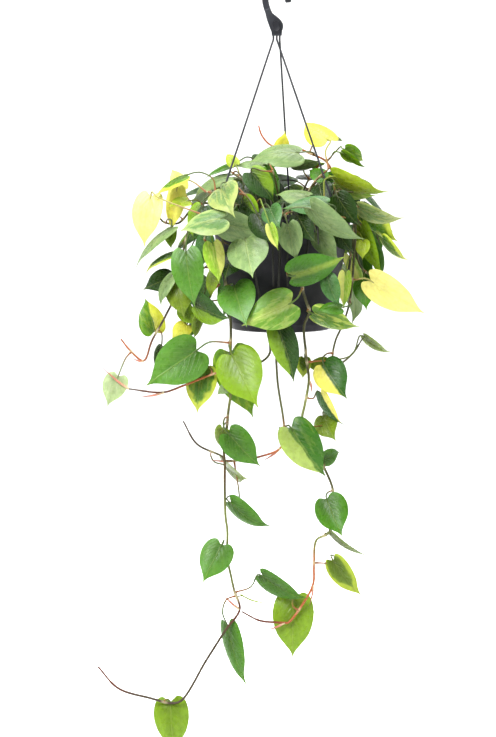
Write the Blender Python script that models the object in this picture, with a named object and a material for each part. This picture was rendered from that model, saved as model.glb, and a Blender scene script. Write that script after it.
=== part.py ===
"""Potted heartleaf philodendron hanging from a grower's pot hook.

Metres, +Z up. The origin is the saddle of the hook, where a rod would bear. The pot's axis stands a
little to +X of it, and the side that is seen faces -Y. Sizes and tables below are in millimetres.

The plant is placed in three steps. Long stems and seen leaves stand where they were read, each leaf
moved along its depth until it is clear. Crown stems and unseen leaves follow a seeded rule. Each leaf
then gets a stalk to the nearest stem that it has a clear way to.
"""

import math
import random
from dataclasses import dataclass

import bmesh
import bpy
from mathutils import Vector
from mathutils.bvhtree import BVHTree

MM = 0.001

# Pot
POT_AXIS_X = 6.0
RIM_RADIUS = 83.0
RIM_Z = -270.4
BASE_RADIUS = 59.0
BASE_Z = -402.0
POT_WALL = 1.3
POT_FLOOR = 2.0
FLANGE_RADIUS = 89.6
FLANGE_THICKNESS = 1.6
LIP_DEPTH = 5.4
LIP_THICKNESS = 1.2
POT_SIDES = 32
DRAIN_HOLES = 6
DRAIN_RADIUS = 4.0
DRAIN_CIRCLE = 38.0

# Potting mix
SOIL_TOP_Z = -282.5
SOIL_GAP = 0.3
STEM_HOLE_CLEARANCE = 0.6
STEM_FOOT_Z = -297.0

# Hook and its boss
HOOK_INNER_RADIUS = 9.6
HOOK_WIDTH = 7.6
HOOK_THICKNESS = 6.0
# Boss, (x, z): down the bar's left flank, round the drop and back up to the bar
BOSS_EDGE = (
    (-14.0, -24.8), (-11.8, -34.4), (-9.2, -42.1), (-6.7, -48.6), (-4.6, -52.6), (5.0, -51.4), (7.0, -48.4),
    (8.0, -44.8), (7.5, -40.6), (4.9, -36.4), (0.4, -32.4), (-4.4, -28.6), (-6.9, -25.2), (-7.8, -22.4),
)
COLLAR_BOTTOM_Z = -54.8
BOSS_THICKNESS = 7.0
RECESS_CENTRE_Z = -43.0
RECESS_DEPTH = 1.1
SOCKET_RADIUS = 1.5
SOCKET_DEPTH = 5.0

# Strands: where each leaves the boss (x, y), and its direction round the rim in degrees
STRAND_RADIUS = 1.2
STRAND_CIRCLE = 85.8
STRAND_HOLE_RADIUS = 1.5
STRAND_HEAD_RADIUS = 1.9
STRANDS = {
    "left": ((-3.6, -0.9), 206.0),
    "right": ((0.4, -1.2), 318.0),
    "back": ((3.9, 1.2), 82.0),
}

# Leaf blade: along the midrib (0 at the notch, 1 at the tip) and across it (1 at the widest)
BLADE_THICKNESS = 0.8
BLADE_EDGE = ((0.0, 0.0), (-0.11, 0.42), (0.01, 0.86), (0.26, 1.0), (0.56, 0.82), (0.82, 0.33), (1.0, 0.0))
BLADE_RIB = ((0.32, 0.0), (0.69, 0.0))
HALF_BLADE = ((0, 1, 2), (0, 2, 7), (7, 2, 3), (7, 3, 4), (7, 4, 8), (8, 4, 5), (8, 5, 6))
SMALL_WIDTH = 40
SMALL_EDGE = ((0.0, 0.0), (-0.11, 0.42), (0.1, 0.93), (0.44, 0.9), (0.8, 0.37), (1.0, 0.0))
SMALL_RIB = ((0.42, 0.0),)
SMALL_HALF = ((0, 1, 2), (0, 2, 6), (6, 2, 3), (6, 3, 4), (6, 4, 5))
STALK_RADII = (1.15, 1.0)
STALK_ROOT_RADIUS = 0.75
NECK_WIDTH = 1.6
STEM_SIDES = 4
STEM_TAPER = 0.2
SHEATH_RADIUS = 1.5

# Room kept round a leaf, a stem and a stalk while they are placed
LEAF_ROOM = 2.2
STEM_ROOM = 0.7
STALK_ROOM = 1.7

# Where the plant is seen from, how far down the view slopes, and the reading that lies at its middle
VIEW_POINT = Vector((-33.6, -2585.8, -178.3))
VIEW_PITCH = math.radians(6.0)
VIEW_DISTANCE = 2600.0
VIEW_CENTRE = (-33.6, -456.0)

SEED = 11
UNSEEN_LEAVES = 50
CROWN_LOW, CROWN_MIDDLE, CROWN_HIGH, CROWN_SIDE = 11, 8, 5, 5

# The crown's outline as it is seen, (x, z)
CROWN_OUTLINE = (
    (-30, -195), (20, -172), (60, -162), (88, -178), (114, -205), (130, -235), (147, -262), (150, -300),
    (140, -330), (122, -370), (95, -402), (-70, -404), (-120, -398), (-150, -360), (-150, -330),
    (-140, -312), (-165, -300), (-176, -270), (-150, -248), (-120, -224), (-75, -205),
)

# Long stems and shoots: radius, then points (x, depth, z)
STEM_LINES = {
    "vine_left_long": (1.6, (
        (-38, -34, -282), (-47, -46, -259), (-62, -66, -265), (-64, -62, -310), (-60, -60, -360),
        (-55, -60, -400), (-55, -60, -440), (-53, -60, -478), (-58, -60, -510), (-60, -60, -532),
        (-63, -60, -552), (-62, -60, -570), (-62, -60, -584), (-61, -60, -604), (-60, -59, -635),
        (-58, -59, -650), (-58, -58, -685), (-54, -58, -704), (-50, -57, -722), (-43, -56, -746),
        (-60, -54, -769), (-83, -52, -806), (-114, -49, -855), (-126, -48, -858), (-150, -48, -852),
        (-189, -47, -840), (-214, -46, -814),
    )),
    "vine_right_long": (1.6, (
        (34, -38, -282), (39, -62, -260), (43, -85, -268), (37, -87, -320), (31, -82, -355),
        (36, -76, -376), (40, -70, -388), (34, -64, -405), (36, -60, -435), (38, -58, -452),
        (40, -57, -472), (34, -56, -500), (31, -55, -516), (34, -53, -545), (50, -51, -562),
        (59, -50, -578), (68, -49, -602), (67, -48, -630), (63, -47, -654), (49, -46, -662),
        (46, -45, -692), (45, -44, -715), (30, -44, -742), (14, -44, -761), (0, -46, -761),
        (-20, -49, -758), (-41, -50, -748),
    )),
    "vine_middle": (1.4, (
        (10, -46, -282), (9, -70, -258), (7, -93, -267), (5, -91, -318), (2, -82, -370), (0, -70, -412),
        (2, -56, -470), (10, -50, -530), (6, -50, -551), (-18, -51, -561), (-48, -53, -567),
        (-65, -53, -562), (-95, -53, -547), (-111, -52, -519),
    )),
    "vine_left_reaching": (1.4, (
        (-20, -48, -282), (-23, -66, -259), (-28, -88, -267), (-28, -86, -320), (-20, -80, -372),
        (-10, -70, -412), (-8, -58, -440), (-30, -54, -454), (-72, -53, -462), (-112, -53, -477),
        (-140, -54, -487), (-178, -50, -480),
    )),
    "vine_far_left": (1.4, (
        (-58, -12, -282), (-74, -18, -262), (-98, -26, -276), (-112, -32, -320), (-120, -35, -366),
        (-133, -37, -393), (-149, -37, -422), (-159, -37, -447), (-174, -36, -436), (-186, -36, -420),
    )),
    "vine_far_right": (1.4, (
        (58, -22, -282), (72, -34, -257), (92, -46, -268), (93, -50, -330), (88, -48, -380),
        (79, -46, -405), (71, -44, -424), (69, -43, -446), (76, -42, -450), (92, -40, -438),
        (104, -38, -420),
    )),
    "shoot_top": (1.3, (
        (20, 8, -282), (40, 10, -250), (66, 12, -222), (60, 12, -208), (40, 12, -198), (18, 12, -189),
        (-5, 13, -188), (-17, 14, -176), (-21, 14, -164),
    )),
    "shoot_right": (1.4, (
        (64, -6, -282), (80, -10, -256), (98, -16, -269), (96, -22, -306), (101, -26, -332),
        (113, -28, -345),
    )),
    "shoot_upper_left": (1.4, (
        (-61, 6, -282), (-80, 10, -258), (-98, 8, -262), (-118, 2, -282), (-136, 0, -280),
        (-142, -2, -270),
    )),
}

# Seen leaves: layer from the back, way it moves to come clear (1 back, -1 front), notch x z, tip x z,
# width, roll about the midrib, depth, lean (-1 tip forward), and the stalk's bend x z where it shows
SEEN_LEAVES = (
    (5, -1, -150, -250, -158, -307, 39, 20, -12, -1, (-140, -252)),
    (4, -1, -119, -240, -126, -290, 26, 25, 0, -1, None),
    (6, -1, -109, -224, -145, -250, 30, 72, -6, 1, None),
    (1, -1, -113, -240, -125, -217, 22, 20, 22, 1, None),
    (6, -1, -106, -255, -128, -260, 20, 50, -12, -1, None),
    (7, -1, -126, -287, -168, -335, 40, 78, -20, -1, None),
    (6, -1, -64, -275, -113, -290, 40, 44, -52, -1, None),
    (5, -1, -66, -281, -12, -293, 42, 30, -82, -1, None),
    (7, -1, -66, -239, -52, -271, 41, 10, -72, -1, None),
    (7, -1, -37, -300, -29, -344, 49, 5, -98, -1, None),
    (3, -1, -39, -237, -42, -284, 30, 15, -40, -1, None),
    (5, -1, -30, -221, -3, -256, 32, -20, -42, -1, None),
    (4, -1, -8, -216, 3, -251, 28, -50, -34, -1, None),
    (4, -1, 27, -197, -30, -207, 42, 48, -10, -1, None),
    (2, -1, -16, -212, -49, -214, 22, 60, 22, 1, None),
    (2, -1, -49, -211, -86, -228, 32, 78, 24, 1, None),
    (3, -1, -58, -225, -98, -249, 34, 66, 6, -1, None),
    (2, -1, -49, -211, -59, -198, 16, 20, 14, 1, None),
    (4, -1, -39, -257, -17, -275, 28, 20, -70, -1, None),
    (6, -1, -8, -263, 4, -287, 26, 10, -88, -1, None),
    (3, -1, 62, -181, 35, -159, 38, 38, 16, 1, (60, -195)),
    (1, -1, 66, -176, 82, -183, 14, 70, 30, 1, None),
    (3, -1, 83, -194, 104, -207, 22, 10, 10, 1, (78, -190)),
    (4, -1, 80, -198, 107, -215, 24, 70, -2, 1, None),
    (5, -1, 70, -226, 134, -244, 38, 62, -30, -1, None),
    (3, -1, 21, -213, 54, -207, 22, 50, 10, 1, None),
    (3, -1, 57, -227, 40, -217, 20, 25, -6, 1, None),
    (3, -1, 59, -229, 79, -221, 18, 35, -2, 1, None),
    (2, -1, 5, -199, 11, -172, 20, 15, 20, 1, None),
    (4, -1, 72, -236, 118, -250, 30, 52, -26, -1, None),
    (6, -1, 101, -264, 152, -277, 34, 56, -16, -1, (94, -275)),
    (5, -1, 104, -270, 144, -303, 36, 45, -26, -1, None),
    (6, -1, 128, -300, 159, -327, 24, 62, -30, -1, None),
    (2, -1, 79, -246, 104, -266, 32, 5, 12, -1, None),
    (5, -1, 60, -258, 10, -264, 30, 45, -74, -1, None),
    (7, -1, 42, -264, 102, -300, 38, 44, -86, -1, None),
    (6, -1, 104, -303, 104, -324, 18, 10, -44, -1, None),
    (6, -1, 14, -283, 24, -325, 30, 12, -98, -1, None),
    (5, -1, 49, -293, 74, -325, 28, 20, -84, -1, None),
    (6, -1, 20, -345, 80, -324, 41, 25, -92, -1, None),
    (5, -1, 102, -286, 127, -341, 30, 45, -34, -1, None),
    (7, -1, -108, -316, -98, -379, 39, 8, -62, -1, None),
    (6, -1, -76, -307, -68, -351, 26, -20, -80, -1, None),
    (5, -1, -52, -319, -61, -348, 32, 10, -84, -1, None),
    (7, -1, -51, -357, -36, -403, 47, 5, -86, -1, None),
    (5, -1, -98, -380, -59, -396, 40, 32, -64, -1, None),
    (5, -1, -119, -351, -111, -393, 34, 8, -50, -1, None),
    (3, -1, -113, -383, -96, -403, 22, 10, -40, -1, None),
    (5, -1, -125, -347, -158, -361, 30, 25, -34, -1, None),
    (6, -1, -126, -345, -139, -381, 24, 55, -46, -1, None),
    (5, 1, -146, -411, -156, -373, 32, 12, -36, 1, None),
    (5, -1, -124, -318, -157, -340, 28, 74, -22, -1, None),
    (4, -1, -126, -289, -127, -312, 16, 20, -4, -1, None),
    (4, 1, -94, -396, -108, -421, 22, 50, -52, -1, None),
    (3, 1, -107, -403, -125, -421, 22, 20, -40, -1, None),
    (6, -1, -95, -434, -153, -474, 56, 8, -58, -1, (-80, -424)),
    (4, 1, -138, -430, -146, -453, 18, 50, -40, -1, None),
    (4, 1, -88, -457, -95, -507, 38, 12, -48, -1, None),
    (7, -1, -52, -440, -24, -499, 56, 6, -74, -1, (-55, -425)),
    (4, 1, -54, -437, -29, -512, 53, 8, -60, -1, None),
    (3, 1, -56, -477, -71, -487, 14, 30, -56, 1, None),
    (7, -1, 18, -377, -38, -403, 47, 8, -86, -1, None),
    (5, -1, 3, -407, 22, -470, 34, -12, -68, -1, None),
    (4, 1, 34, -444, 32, -467, 18, 15, -52, 1, None),
    (4, 1, 58, -448, 37, -452, 20, 45, -46, 1, None),
    (6, -1, 57, -451, 84, -490, 41, 5, -56, -1, None),
    (5, -1, 54, -486, 79, -524, 28, 58, -52, -1, (45, -492)),
    (5, -1, 57, -512, 70, -541, 34, 20, -44, -1, (54, -528)),
    (6, -1, 18, -527, 58, -584, 47, 6, -60, -1, None),
    (4, 1, 12, -541, 3, -526, 14, 20, -52, 1, None),
    (4, 1, 57, -565, 76, -556, 22, 20, -44, 1, None),
    (5, -1, 62, -347, 76, -381, 24, 25, -78, -1, None),
    (5, -1, 83, -342, 81, -383, 18, -20, -66, -1, None),
    (4, -1, 106, -351, 108, -384, 28, 5, -46, -1, None),
    (5, -1, 114, -351, 176, -388, 39, 15, -30, -1, None),
    (6, -1, 46, -391, 98, -407, 38, 45, -72, -1, None),
    (5, -1, -64, -530, -67, -551, 22, 30, -60, 1, None),
    (6, -1, -57, -534, -21, -572, 39, 15, -68, -1, None),
    (5, -1, -62, -572, -36, -588, 36, 55, -64, -1, None),
    (5, -1, -54, -618, -9, -646, 32, 40, -58, -1, (-57, -628)),
    (6, -1, -66, -668, -87, -711, 39, 12, -62, -1, (-62, -705)),
    (5, -1, -17, -705, 36, -733, 36, 42, -50, -1, (-30, -718)),
    (6, 1, 21, -733, 20, -800, 50, 4, -46, -1, (14, -752)),
    (6, -1, 60, -613, 79, -656, 41, 8, -52, -1, None),
    (5, -1, 66, -655, 114, -681, 28, 70, -46, -1, None),
    (5, -1, 69, -687, 101, -728, 30, 20, -44, -1, (52, -702)),
    (5, -1, -58, -765, -38, -835, 36, 45, -52, -1, None),
    (5, 1, -127, -857, -122, -914, 43, 2, -44, -1, None),
    (5, -1, -189, -465, -202, -500, 30, 10, -46, -1, None),
    (4, -1, 106, -418, 138, -438, 24, 62, -36, -1, (90, -440)),
    (3, -1, 78, -383, 50, -386, 20, 45, -86, 1, None),
    (4, -1, -93, -396, -97, -419, 16, -40, -46, 1, None),
    (3, -1, 113, -352, 123, -341, 14, 10, -28, 1, None),
    (4, 1, -40, -729, -4, -737, 8, 70, -45, 1, None),
    (5, -1, 37, -249, 1, -246, 30, 55, -64, 1, None),
    (4, -1, 38, -257, 0, -256, 26, 40, -60, 1, None),
    (7, -1, -7, -284, 2, -313, 13, 10, -98, -1, None),
    (5, -1, -22, -270, -6, -306, 32, 10, -88, -1, None),
    (4, -1, 52, -236, 62, -266, 30, 15, -46, -1, None),
    (4, -1, 74, -250, 98, -284, 32, 30, -48, -1, None),
    (4, -1, 26, -272, 46, -304, 30, 25, -88, -1, None),
    (4, -1, -88, -262, -100, -300, 30, 20, -50, -1, None),
    (5, -1, -84, -296, -94, -326, 24, 25, -62, -1, None),
    (5, -1, -74, -340, -78, -370, 16, 20, -74, -1, None),
    (4, -1, 72, -286, 92, -316, 28, 30, -72, -1, None),
)

# Papery sheaths at the joints: stem, root, tip (x, depth, z)
SHEATHS = (
    ("vine_left_long", (-44, -56, -745), (-66, -56, -725)),
    ("vine_right_long", (10, -44, -761), (-14, -47, -771)),
    ("vine_right_long", (45, -44, -716), (41, -42, -741)),
    ("vine_middle", (-50, -53, -567), (-80, -42, -566)),
    ("vine_middle", (4, -50, -551), (-18, -47, -567)),
    ("vine_left_reaching", (-134, -53, -486), (-164, -50, -492)),
    ("vine_far_left", (-159, -37, -447), (-171, -35, -445)),
    ("vine_left_reaching", (-177, -50, -480), (-208, -47, -455)),
    ("vine_right_long", (40, -57, -470), (44, -54, -486)),
)

COLOURS = {
    "pot_plastic": (0.012, 0.012, 0.02, 0.45),
    "hook_plastic": (0.045, 0.048, 0.055, 0.4),
    "potting_mix": (0.035, 0.022, 0.014, 0.95),
    "leaf": (0.12, 0.3, 0.05, 0.35),
}


class Shape:
    """A surface with its bounds, for telling whether two pieces meet."""

    def __init__(self, skin):
        self.points, self.faces = skin
        self.low = Vector([min(p[i] for p in self.points) for i in range(3)])
        self.high = Vector([max(p[i] for p in self.points) for i in range(3)])
        self.tree = BVHTree.FromPolygons(self.points, self.faces)

    def near(self, other):
        for i in range(3):
            if self.low[i] > other.high[i] or other.low[i] > self.high[i]:
                return False
        return True

    def hits(self, other):
        return self.near(other) and bool(self.tree.overlap(other.tree))


@dataclass
class Stem:
    name: str
    radius: float
    path: list
    shape: Shape
    load: int = 0


@dataclass
class Leaf:
    notch: Vector
    tip: Vector
    width: float
    roll: float
    bow: float
    cup: float
    layer: int = 0
    moves: int = -1
    bend: tuple = None
    shape: Shape = None
    stem: Stem = None
    stalk: list = None
    stalk_shape: Shape = None


def at_depth(x, y, z):
    """A reading (x, z) carried along the line of sight to depth y, in whole millimetres."""
    right = (x - VIEW_CENTRE[0]) / VIEW_DISTANCE
    down = (VIEW_CENTRE[1] - z) / VIEW_DISTANCE
    slope, level = math.sin(VIEW_PITCH), math.cos(VIEW_PITCH)
    ray = Vector((right, level - down * slope, -slope - down * level))
    point = VIEW_POINT + ray * ((y - VIEW_POINT.y) / ray.y)
    return Vector([round(c) for c in point])


def as_read(point):
    """Where a point appears, as a reading (x, z)."""
    sight = point - VIEW_POINT
    slope, level = math.sin(VIEW_PITCH), math.cos(VIEW_PITCH)
    ahead = sight.y * level - sight.z * slope
    down = -sight.y * slope - sight.z * level
    return VIEW_CENTRE[0] + VIEW_DISTANCE * sight.x / ahead, VIEW_CENTRE[1] - VIEW_DISTANCE * down / ahead


def inside_outline(x, z, outline):
    inside = False
    for (x0, z0), (x1, z1) in zip(outline, outline[1:] + outline[:1]):
        if (z0 > z) != (z1 > z) and x < x0 + (x1 - x0) * (z - z0) / (z1 - z0):
            inside = not inside
    return inside


def tube_skin(path, start_radius, end_radius, sides):
    """Points and faces of a capped tube whose rings are carried along without twisting."""
    points = []
    across = None
    last = len(path) - 1
    for i, at in enumerate(path):
        along = (path[min(i + 1, last)] - path[max(i - 1, 0)]).normalized()
        if across is None:
            across = along.orthogonal().normalized()
        else:
            across = (across - along * across.dot(along)).normalized()
        other = along.cross(across)
        radius = start_radius + (end_radius - start_radius) * i / last
        for step in range(sides):
            turn = 2 * math.pi * step / sides
            points.append(at + across * (radius * math.cos(turn)) + other * (radius * math.sin(turn)))
    faces = [tuple(range(sides)), tuple(range(last * sides, (last + 1) * sides))]
    for i in range(last):
        for step in range(sides):
            a = i * sides + step
            b = i * sides + (step + 1) % sides
            faces.append((a, b, b + sides, a + sides))
    return points, faces


def turned_skin(profile, sides):
    """Points and faces turned about the pot's axis from a line of (radius, z), flat at both ends."""
    points = []
    for radius, z in profile:
        for step in range(sides):
            turn = 2 * math.pi * step / sides
            points.append(Vector((POT_AXIS_X + radius * math.cos(turn), radius * math.sin(turn), z)))
    faces = [tuple(range(sides)), tuple(range((len(profile) - 1) * sides, len(profile) * sides))]
    for row in range(len(profile) - 1):
        for step in range(sides):
            a = row * sides + step
            b = row * sides + (step + 1) % sides
            faces.append((a, b, b + sides, a + sides))
    return points, faces


def prism_skin(outline, low, high):
    """Points and faces of an outline of (x, y) made solid between two heights."""
    count = len(outline)
    points = [(x, y, z) for z in (low, high) for x, y in outline]
    faces = [tuple(range(count)), tuple(range(count, 2 * count))]
    for i in range(count):
        j = (i + 1) % count
        faces.append((i, j, count + j, count + i))
    return points, faces


def round_outline(x, y, radius, sides):
    turns = [2 * math.pi * (step + 0.5) / sides for step in range(sides)]
    return [(x + radius * math.cos(turn), y + radius * math.sin(turn)) for turn in turns]


def blade_axes(notch, tip, roll):
    """Unit vectors along the midrib, across the blade and up from its face."""
    along = (tip - notch).normalized()
    toward = Vector((0.0, -1.0, 0.0))
    face = (toward - along * toward.dot(along)).normalized()
    across = along.cross(face)
    turn = math.radians(roll)
    face = face * math.cos(turn) + across * math.sin(turn)
    return along, along.cross(face), face


def blade_point(leaf, s, h):
    """A point of the blade's middle surface, s along the midrib and h across."""
    along, across, face = blade_axes(leaf.notch, leaf.tip, leaf.roll)
    length = (leaf.tip - leaf.notch).length
    half = leaf.width / 2
    rise = leaf.bow * length * 4 * s * (1 - s) + leaf.cup * half * abs(h) ** 1.6
    return leaf.notch + along * (s * length) + across * (h * half) + face * rise


def room_round(leaf, grow=1.03):
    """A blade a little larger and thicker than the real one, for keeping others off it."""
    half = blade_axes(leaf.notch, leaf.tip, leaf.roll)[2] * (LEAF_ROOM / 2)
    rows = BLADE_EDGE + BLADE_RIB
    points = []
    for side in (half, -half):
        for hand in (1, -1):
            points += [blade_point(leaf, (s - 0.4) * grow + 0.4, h * hand * grow) + side for s, h in rows]
    faces = []
    for start in range(0, len(points), len(rows)):
        faces += [tuple(start + c for c in corners) for corners in HALF_BLADE]
    below = 2 * len(rows)
    for start in (0, len(rows)):
        for i in range(start, start + len(BLADE_EDGE) - 1):
            faces.append((i, i + 1, below + i + 1, below + i))
    return Shape((points, faces))


def leaf_skin(leaf, stalk):
    """A blade and its stalk as one closed skin; both faces are split into triangles alike."""
    _, across, face = blade_axes(leaf.notch, leaf.tip, leaf.roll)
    rim, rib, half_blade = BLADE_EDGE, BLADE_RIB, HALF_BLADE
    if leaf.width < SMALL_WIDTH:
        rim, rib, half_blade = SMALL_EDGE, SMALL_RIB, SMALL_HALF
    right = list(rim[1:-1])
    left = [(s, -h) for s, h in reversed(right)]
    outline = [rim[0]] + right + [rim[-1]] + left
    rows = outline + list(rib)
    edge = len(outline)
    tip_row = len(right) + 1
    half = face * (BLADE_THICKNESS / 2)
    points = [blade_point(leaf, s, h) + half for s, h in rows]
    points += [blade_point(leaf, s, h) - half for s, h in rows]
    split = len(points)
    points[0] = points[0] + across * (NECK_WIDTH / 2)
    points.append(leaf.notch + half - across * (NECK_WIDTH / 2))
    lower = len(rows)
    faces = [(0, split, edge)]
    for corners in half_blade:
        there = [c if c <= tip_row else c - tip_row - 1 + edge for c in corners]
        back = [c if c >= edge or c == 0 else edge - c for c in there]
        faces.append(tuple(there))
        faces.append(tuple(split if c == 0 else c for c in back))
        faces.append(tuple(lower + c for c in there))
        faces.append(tuple(lower + c for c in back))
    for i in range(edge):
        j = (i + 1) % edge
        above = split if j == 0 else j
        faces.append((i, above, lower + j))
        faces.append((i, lower + j, lower + i))
    ring = (split, 0, lower)
    line = list(reversed(stalk))
    last = len(line) - 1
    for i in range(1, last + 1):
        run = (line[i - 1] - line[min(i + 1, last)]).normalized()
        across = (across - run * across.dot(run)).normalized()
        up = across.cross(run)
        radius = STALK_RADII[0] if i == last - 1 else STALK_RADII[1]
        if i == last:
            radius = STALK_ROOT_RADIUS
        start = len(points)
        for x, y in ((-0.87, 0.5), (0.87, 0.5), (0.0, -1.0)):
            points.append(line[i] + across * (x * radius) + up * (y * radius))
        made = (start, start + 1, start + 2)
        for k in range(3):
            m = (k + 1) % 3
            faces.append((ring[k], ring[m], made[m]))
            faces.append((ring[k], made[m], made[k]))
        ring = made
    faces.append(ring)
    return points, faces


def sharpest_turn(path):
    """The largest change of direction along a path, in degrees."""
    runs = [(high - low).normalized() for low, high in zip(path, path[1:])]
    return max(math.degrees(a.angle(b)) for a, b in zip(runs, runs[1:]))


def crosses_itself(skin):
    """Whether two faces of a skin that share no corner meet."""
    points, faces = skin
    tree = BVHTree.FromPolygons(points, faces)
    for mine, other in tree.overlap(tree):
        if mine < other and not set(faces[mine]) & set(faces[other]):
            return True
    return False


def strand_foot(azimuth):
    turn = math.radians(azimuth)
    return POT_AXIS_X + STRAND_CIRCLE * math.cos(turn), STRAND_CIRCLE * math.sin(turn)


def strand_path(top, azimuth):
    """From the socket in the boss, straight down out of it, then to the rim and through its hole."""
    x, y = top
    foot_x, foot_y = strand_foot(azimuth)
    bend = Vector((x, y, COLLAR_BOTTOM_Z - 4.4))
    above = Vector((foot_x, foot_y, RIM_Z + 8.0))
    path = [Vector((x, y, COLLAR_BOTTOM_Z + SOCKET_DEPTH - 0.4)), Vector((x, y, COLLAR_BOTTOM_Z - 1.9)), bend]
    path += [bend.lerp(above, step / 3) for step in (1, 2, 3)]
    return path + [Vector((foot_x, foot_y, RIM_Z + 4.0)), Vector((foot_x, foot_y, RIM_Z - 2.4))]


class Plant:
    """The stems, leaves and stalks, each placed clear of the rest."""

    def __init__(self):
        room = (
            (2.0, BASE_Z - 0.4), (BASE_RADIUS + 0.4, BASE_Z - 0.4), (RIM_RADIUS - 0.2, RIM_Z - 5.8),
            (FLANGE_RADIUS + 0.6, RIM_Z - 5.8), (FLANGE_RADIUS + 0.6, RIM_Z + 2.6),
            (RIM_RADIUS - 2.6, RIM_Z + 2.6), (RIM_RADIUS - 3.6, SOIL_TOP_Z + 0.1), (2.0, SOIL_TOP_Z + 0.1),
        )
        self.random = random.Random(SEED)
        self.pot = Shape(turned_skin(room, POT_SIDES))
        self.strands = []
        for top, azimuth in STRANDS.values():
            self.strands.append(Shape(tube_skin(strand_path(top, azimuth), 2.1, 2.1, 5)))
        self.stems = []
        self.leaves = []
        self.place_long_stems()
        self.place_seen_leaves()
        self.grow_crown_stems()
        self.join_seen_leaves()
        self.add_unseen_leaves()

    def add_stem(self, name, radius, points):
        foot = Vector((points[0][0], points[0][1], STEM_FOOT_Z))
        path = [foot] + points
        shape = Shape(tube_skin(path, radius + STEM_ROOM, radius + STEM_ROOM - STEM_TAPER, 5))
        self.stems.append(Stem(name, radius, path, shape))

    def place_long_stems(self):
        for name, (radius, line) in STEM_LINES.items():
            self.add_stem(name, radius, [at_depth(x, y, z) for x, y, z in line])

    def meets(self, shape, but_leaf=None, but_stem=None):
        """Whether a shape meets the pot, a strand, a stem, a leaf or a stalk."""
        if shape.hits(self.pot) or any(shape.hits(strand) for strand in self.strands):
            return True
        if any(stem is not but_stem and shape.hits(stem.shape) for stem in self.stems):
            return True
        for leaf in self.leaves:
            if leaf is but_leaf:
                continue
            if shape.hits(leaf.shape) or (leaf.stalk_shape and shape.hits(leaf.stalk_shape)):
                return True
        return False

    def read_leaf(self, number, row, shift):
        """The leaf of one row of the table, moved by a shift in depth."""
        layer, moves, notch_x, notch_z, tip_x, tip_z, width, roll, depth, lean, bend = row
        flat = math.hypot(tip_x - notch_x, tip_z - notch_z)
        length = max(flat, 1.28 * width)
        run = lean * min(math.sqrt(max(length * length - flat * flat, 0.0)), 0.8 * length)
        notch = at_depth(notch_x, depth + shift - run / 2, notch_z)
        tip = at_depth(tip_x, depth + shift + run / 2, tip_z)
        bow = round(0.07 + 0.04 * math.sin(2.3 * number), 2)
        cup = round(-0.10 + 0.16 * math.sin(1.7 * number), 2)
        leaf = Leaf(notch, tip, float(width), float(roll), bow, cup, layer, moves, bend)
        leaf.shape = room_round(leaf)
        return leaf

    def hidden(self, leaf):
        """How many of a leaf's points a leaf of another layer, placed before it, would cover."""
        count = 0
        for point in leaf.shape.points[:18]:
            toward = (VIEW_POINT - point).normalized()
            for other in self.leaves:
                if other.layer == leaf.layer:
                    continue
                low, high = other.shape.low, other.shape.high
                if not (low.x - 6 < point.x < high.x + 6 and low.z - 14 < point.z < high.z + 14):
                    continue
                if other.shape.tree.ray_cast(point, toward, 80)[0] is not None:
                    count += 1
                    break
        return count

    def place_seen_leaves(self):
        """Each leaf from the back layer to the front, at the nearest depth where it is clear and shows."""
        rows = sorted(enumerate(SEEN_LEAVES, 1), key=lambda entry: (entry[1][0], entry[0]))
        for number, row in rows:
            step = 1.5 * row[1]
            shifts = [step * k for k in range(60)]
            if step < 0:
                shifts = sorted(shifts + [1.5 * k for k in range(1, 14)], key=abs)
            for shift in shifts:
                leaf = self.read_leaf(number, row, shift)
                if not self.meets(leaf.shape) and (step > 0 or self.hidden(leaf) <= 2):
                    self.leaves.append(leaf)
                    break

    def crown_line(self, azimuth, kind, jitter):
        """A short stem's points: up out of the mix, then over or toward the rim."""
        draw = [self.random.uniform(-jitter, jitter) for _ in range(8)]

        def at(radius, z, turn=0.0):
            angle = azimuth + math.radians(turn)
            x = POT_AXIS_X + radius * math.cos(angle)
            return Vector([round(c) for c in (x, radius * math.sin(angle), z)])

        rise = RIM_Z + 276.0
        if kind == "high":
            return [
                at(24, rise - 284),
                at(30 + draw[0], rise - 262, draw[1]),
                at(40 + draw[2], rise - 236 + draw[3], draw[4]),
                at(62 + draw[5], rise - 216 + draw[6], draw[7]),
            ]
        if kind == "middle":
            return [
                at(44, rise - 284),
                at(54 + draw[0], rise - 262, draw[1]),
                at(72 + draw[2], rise - 244 + draw[3], draw[4]),
                at(96 + draw[5], rise - 246 + draw[6], draw[7]),
            ]
        if kind == "side":
            return [
                at(52, rise - 284),
                at(64 + draw[0] * 0.5, rise - 264, draw[1]),
                at(86 + draw[2] * 0.5, rise - 262 + draw[3] * 0.4, draw[4]),
                at(108 + draw[5], rise - 276 + draw[6], draw[7]),
                at(118 + draw[5], rise - 304 + draw[6], draw[7]),
            ]
        return [
            at(62, rise - 284),
            at(72, rise - 266, draw[1]),
            at(91 + draw[2] * 0.3, rise - 268, draw[4]),
            at(93.5 + draw[5] * 0.3, rise - 288, draw[7]),
            at(89 + draw[6] * 0.3, rise - 318, draw[7]),
            at(84 + draw[3] * 0.3, rise - 352, draw[7]),
        ]

    def over_rim(self, stem):
        """Whether a stem touches the pot anywhere but where it stands in the mix."""
        for mine, _ in stem.shape.tree.overlap(self.pot.tree):
            if max(stem.shape.points[corner].z for corner in stem.shape.faces[mine]) > RIM_Z - 4.6:
                return True
        return False

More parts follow.
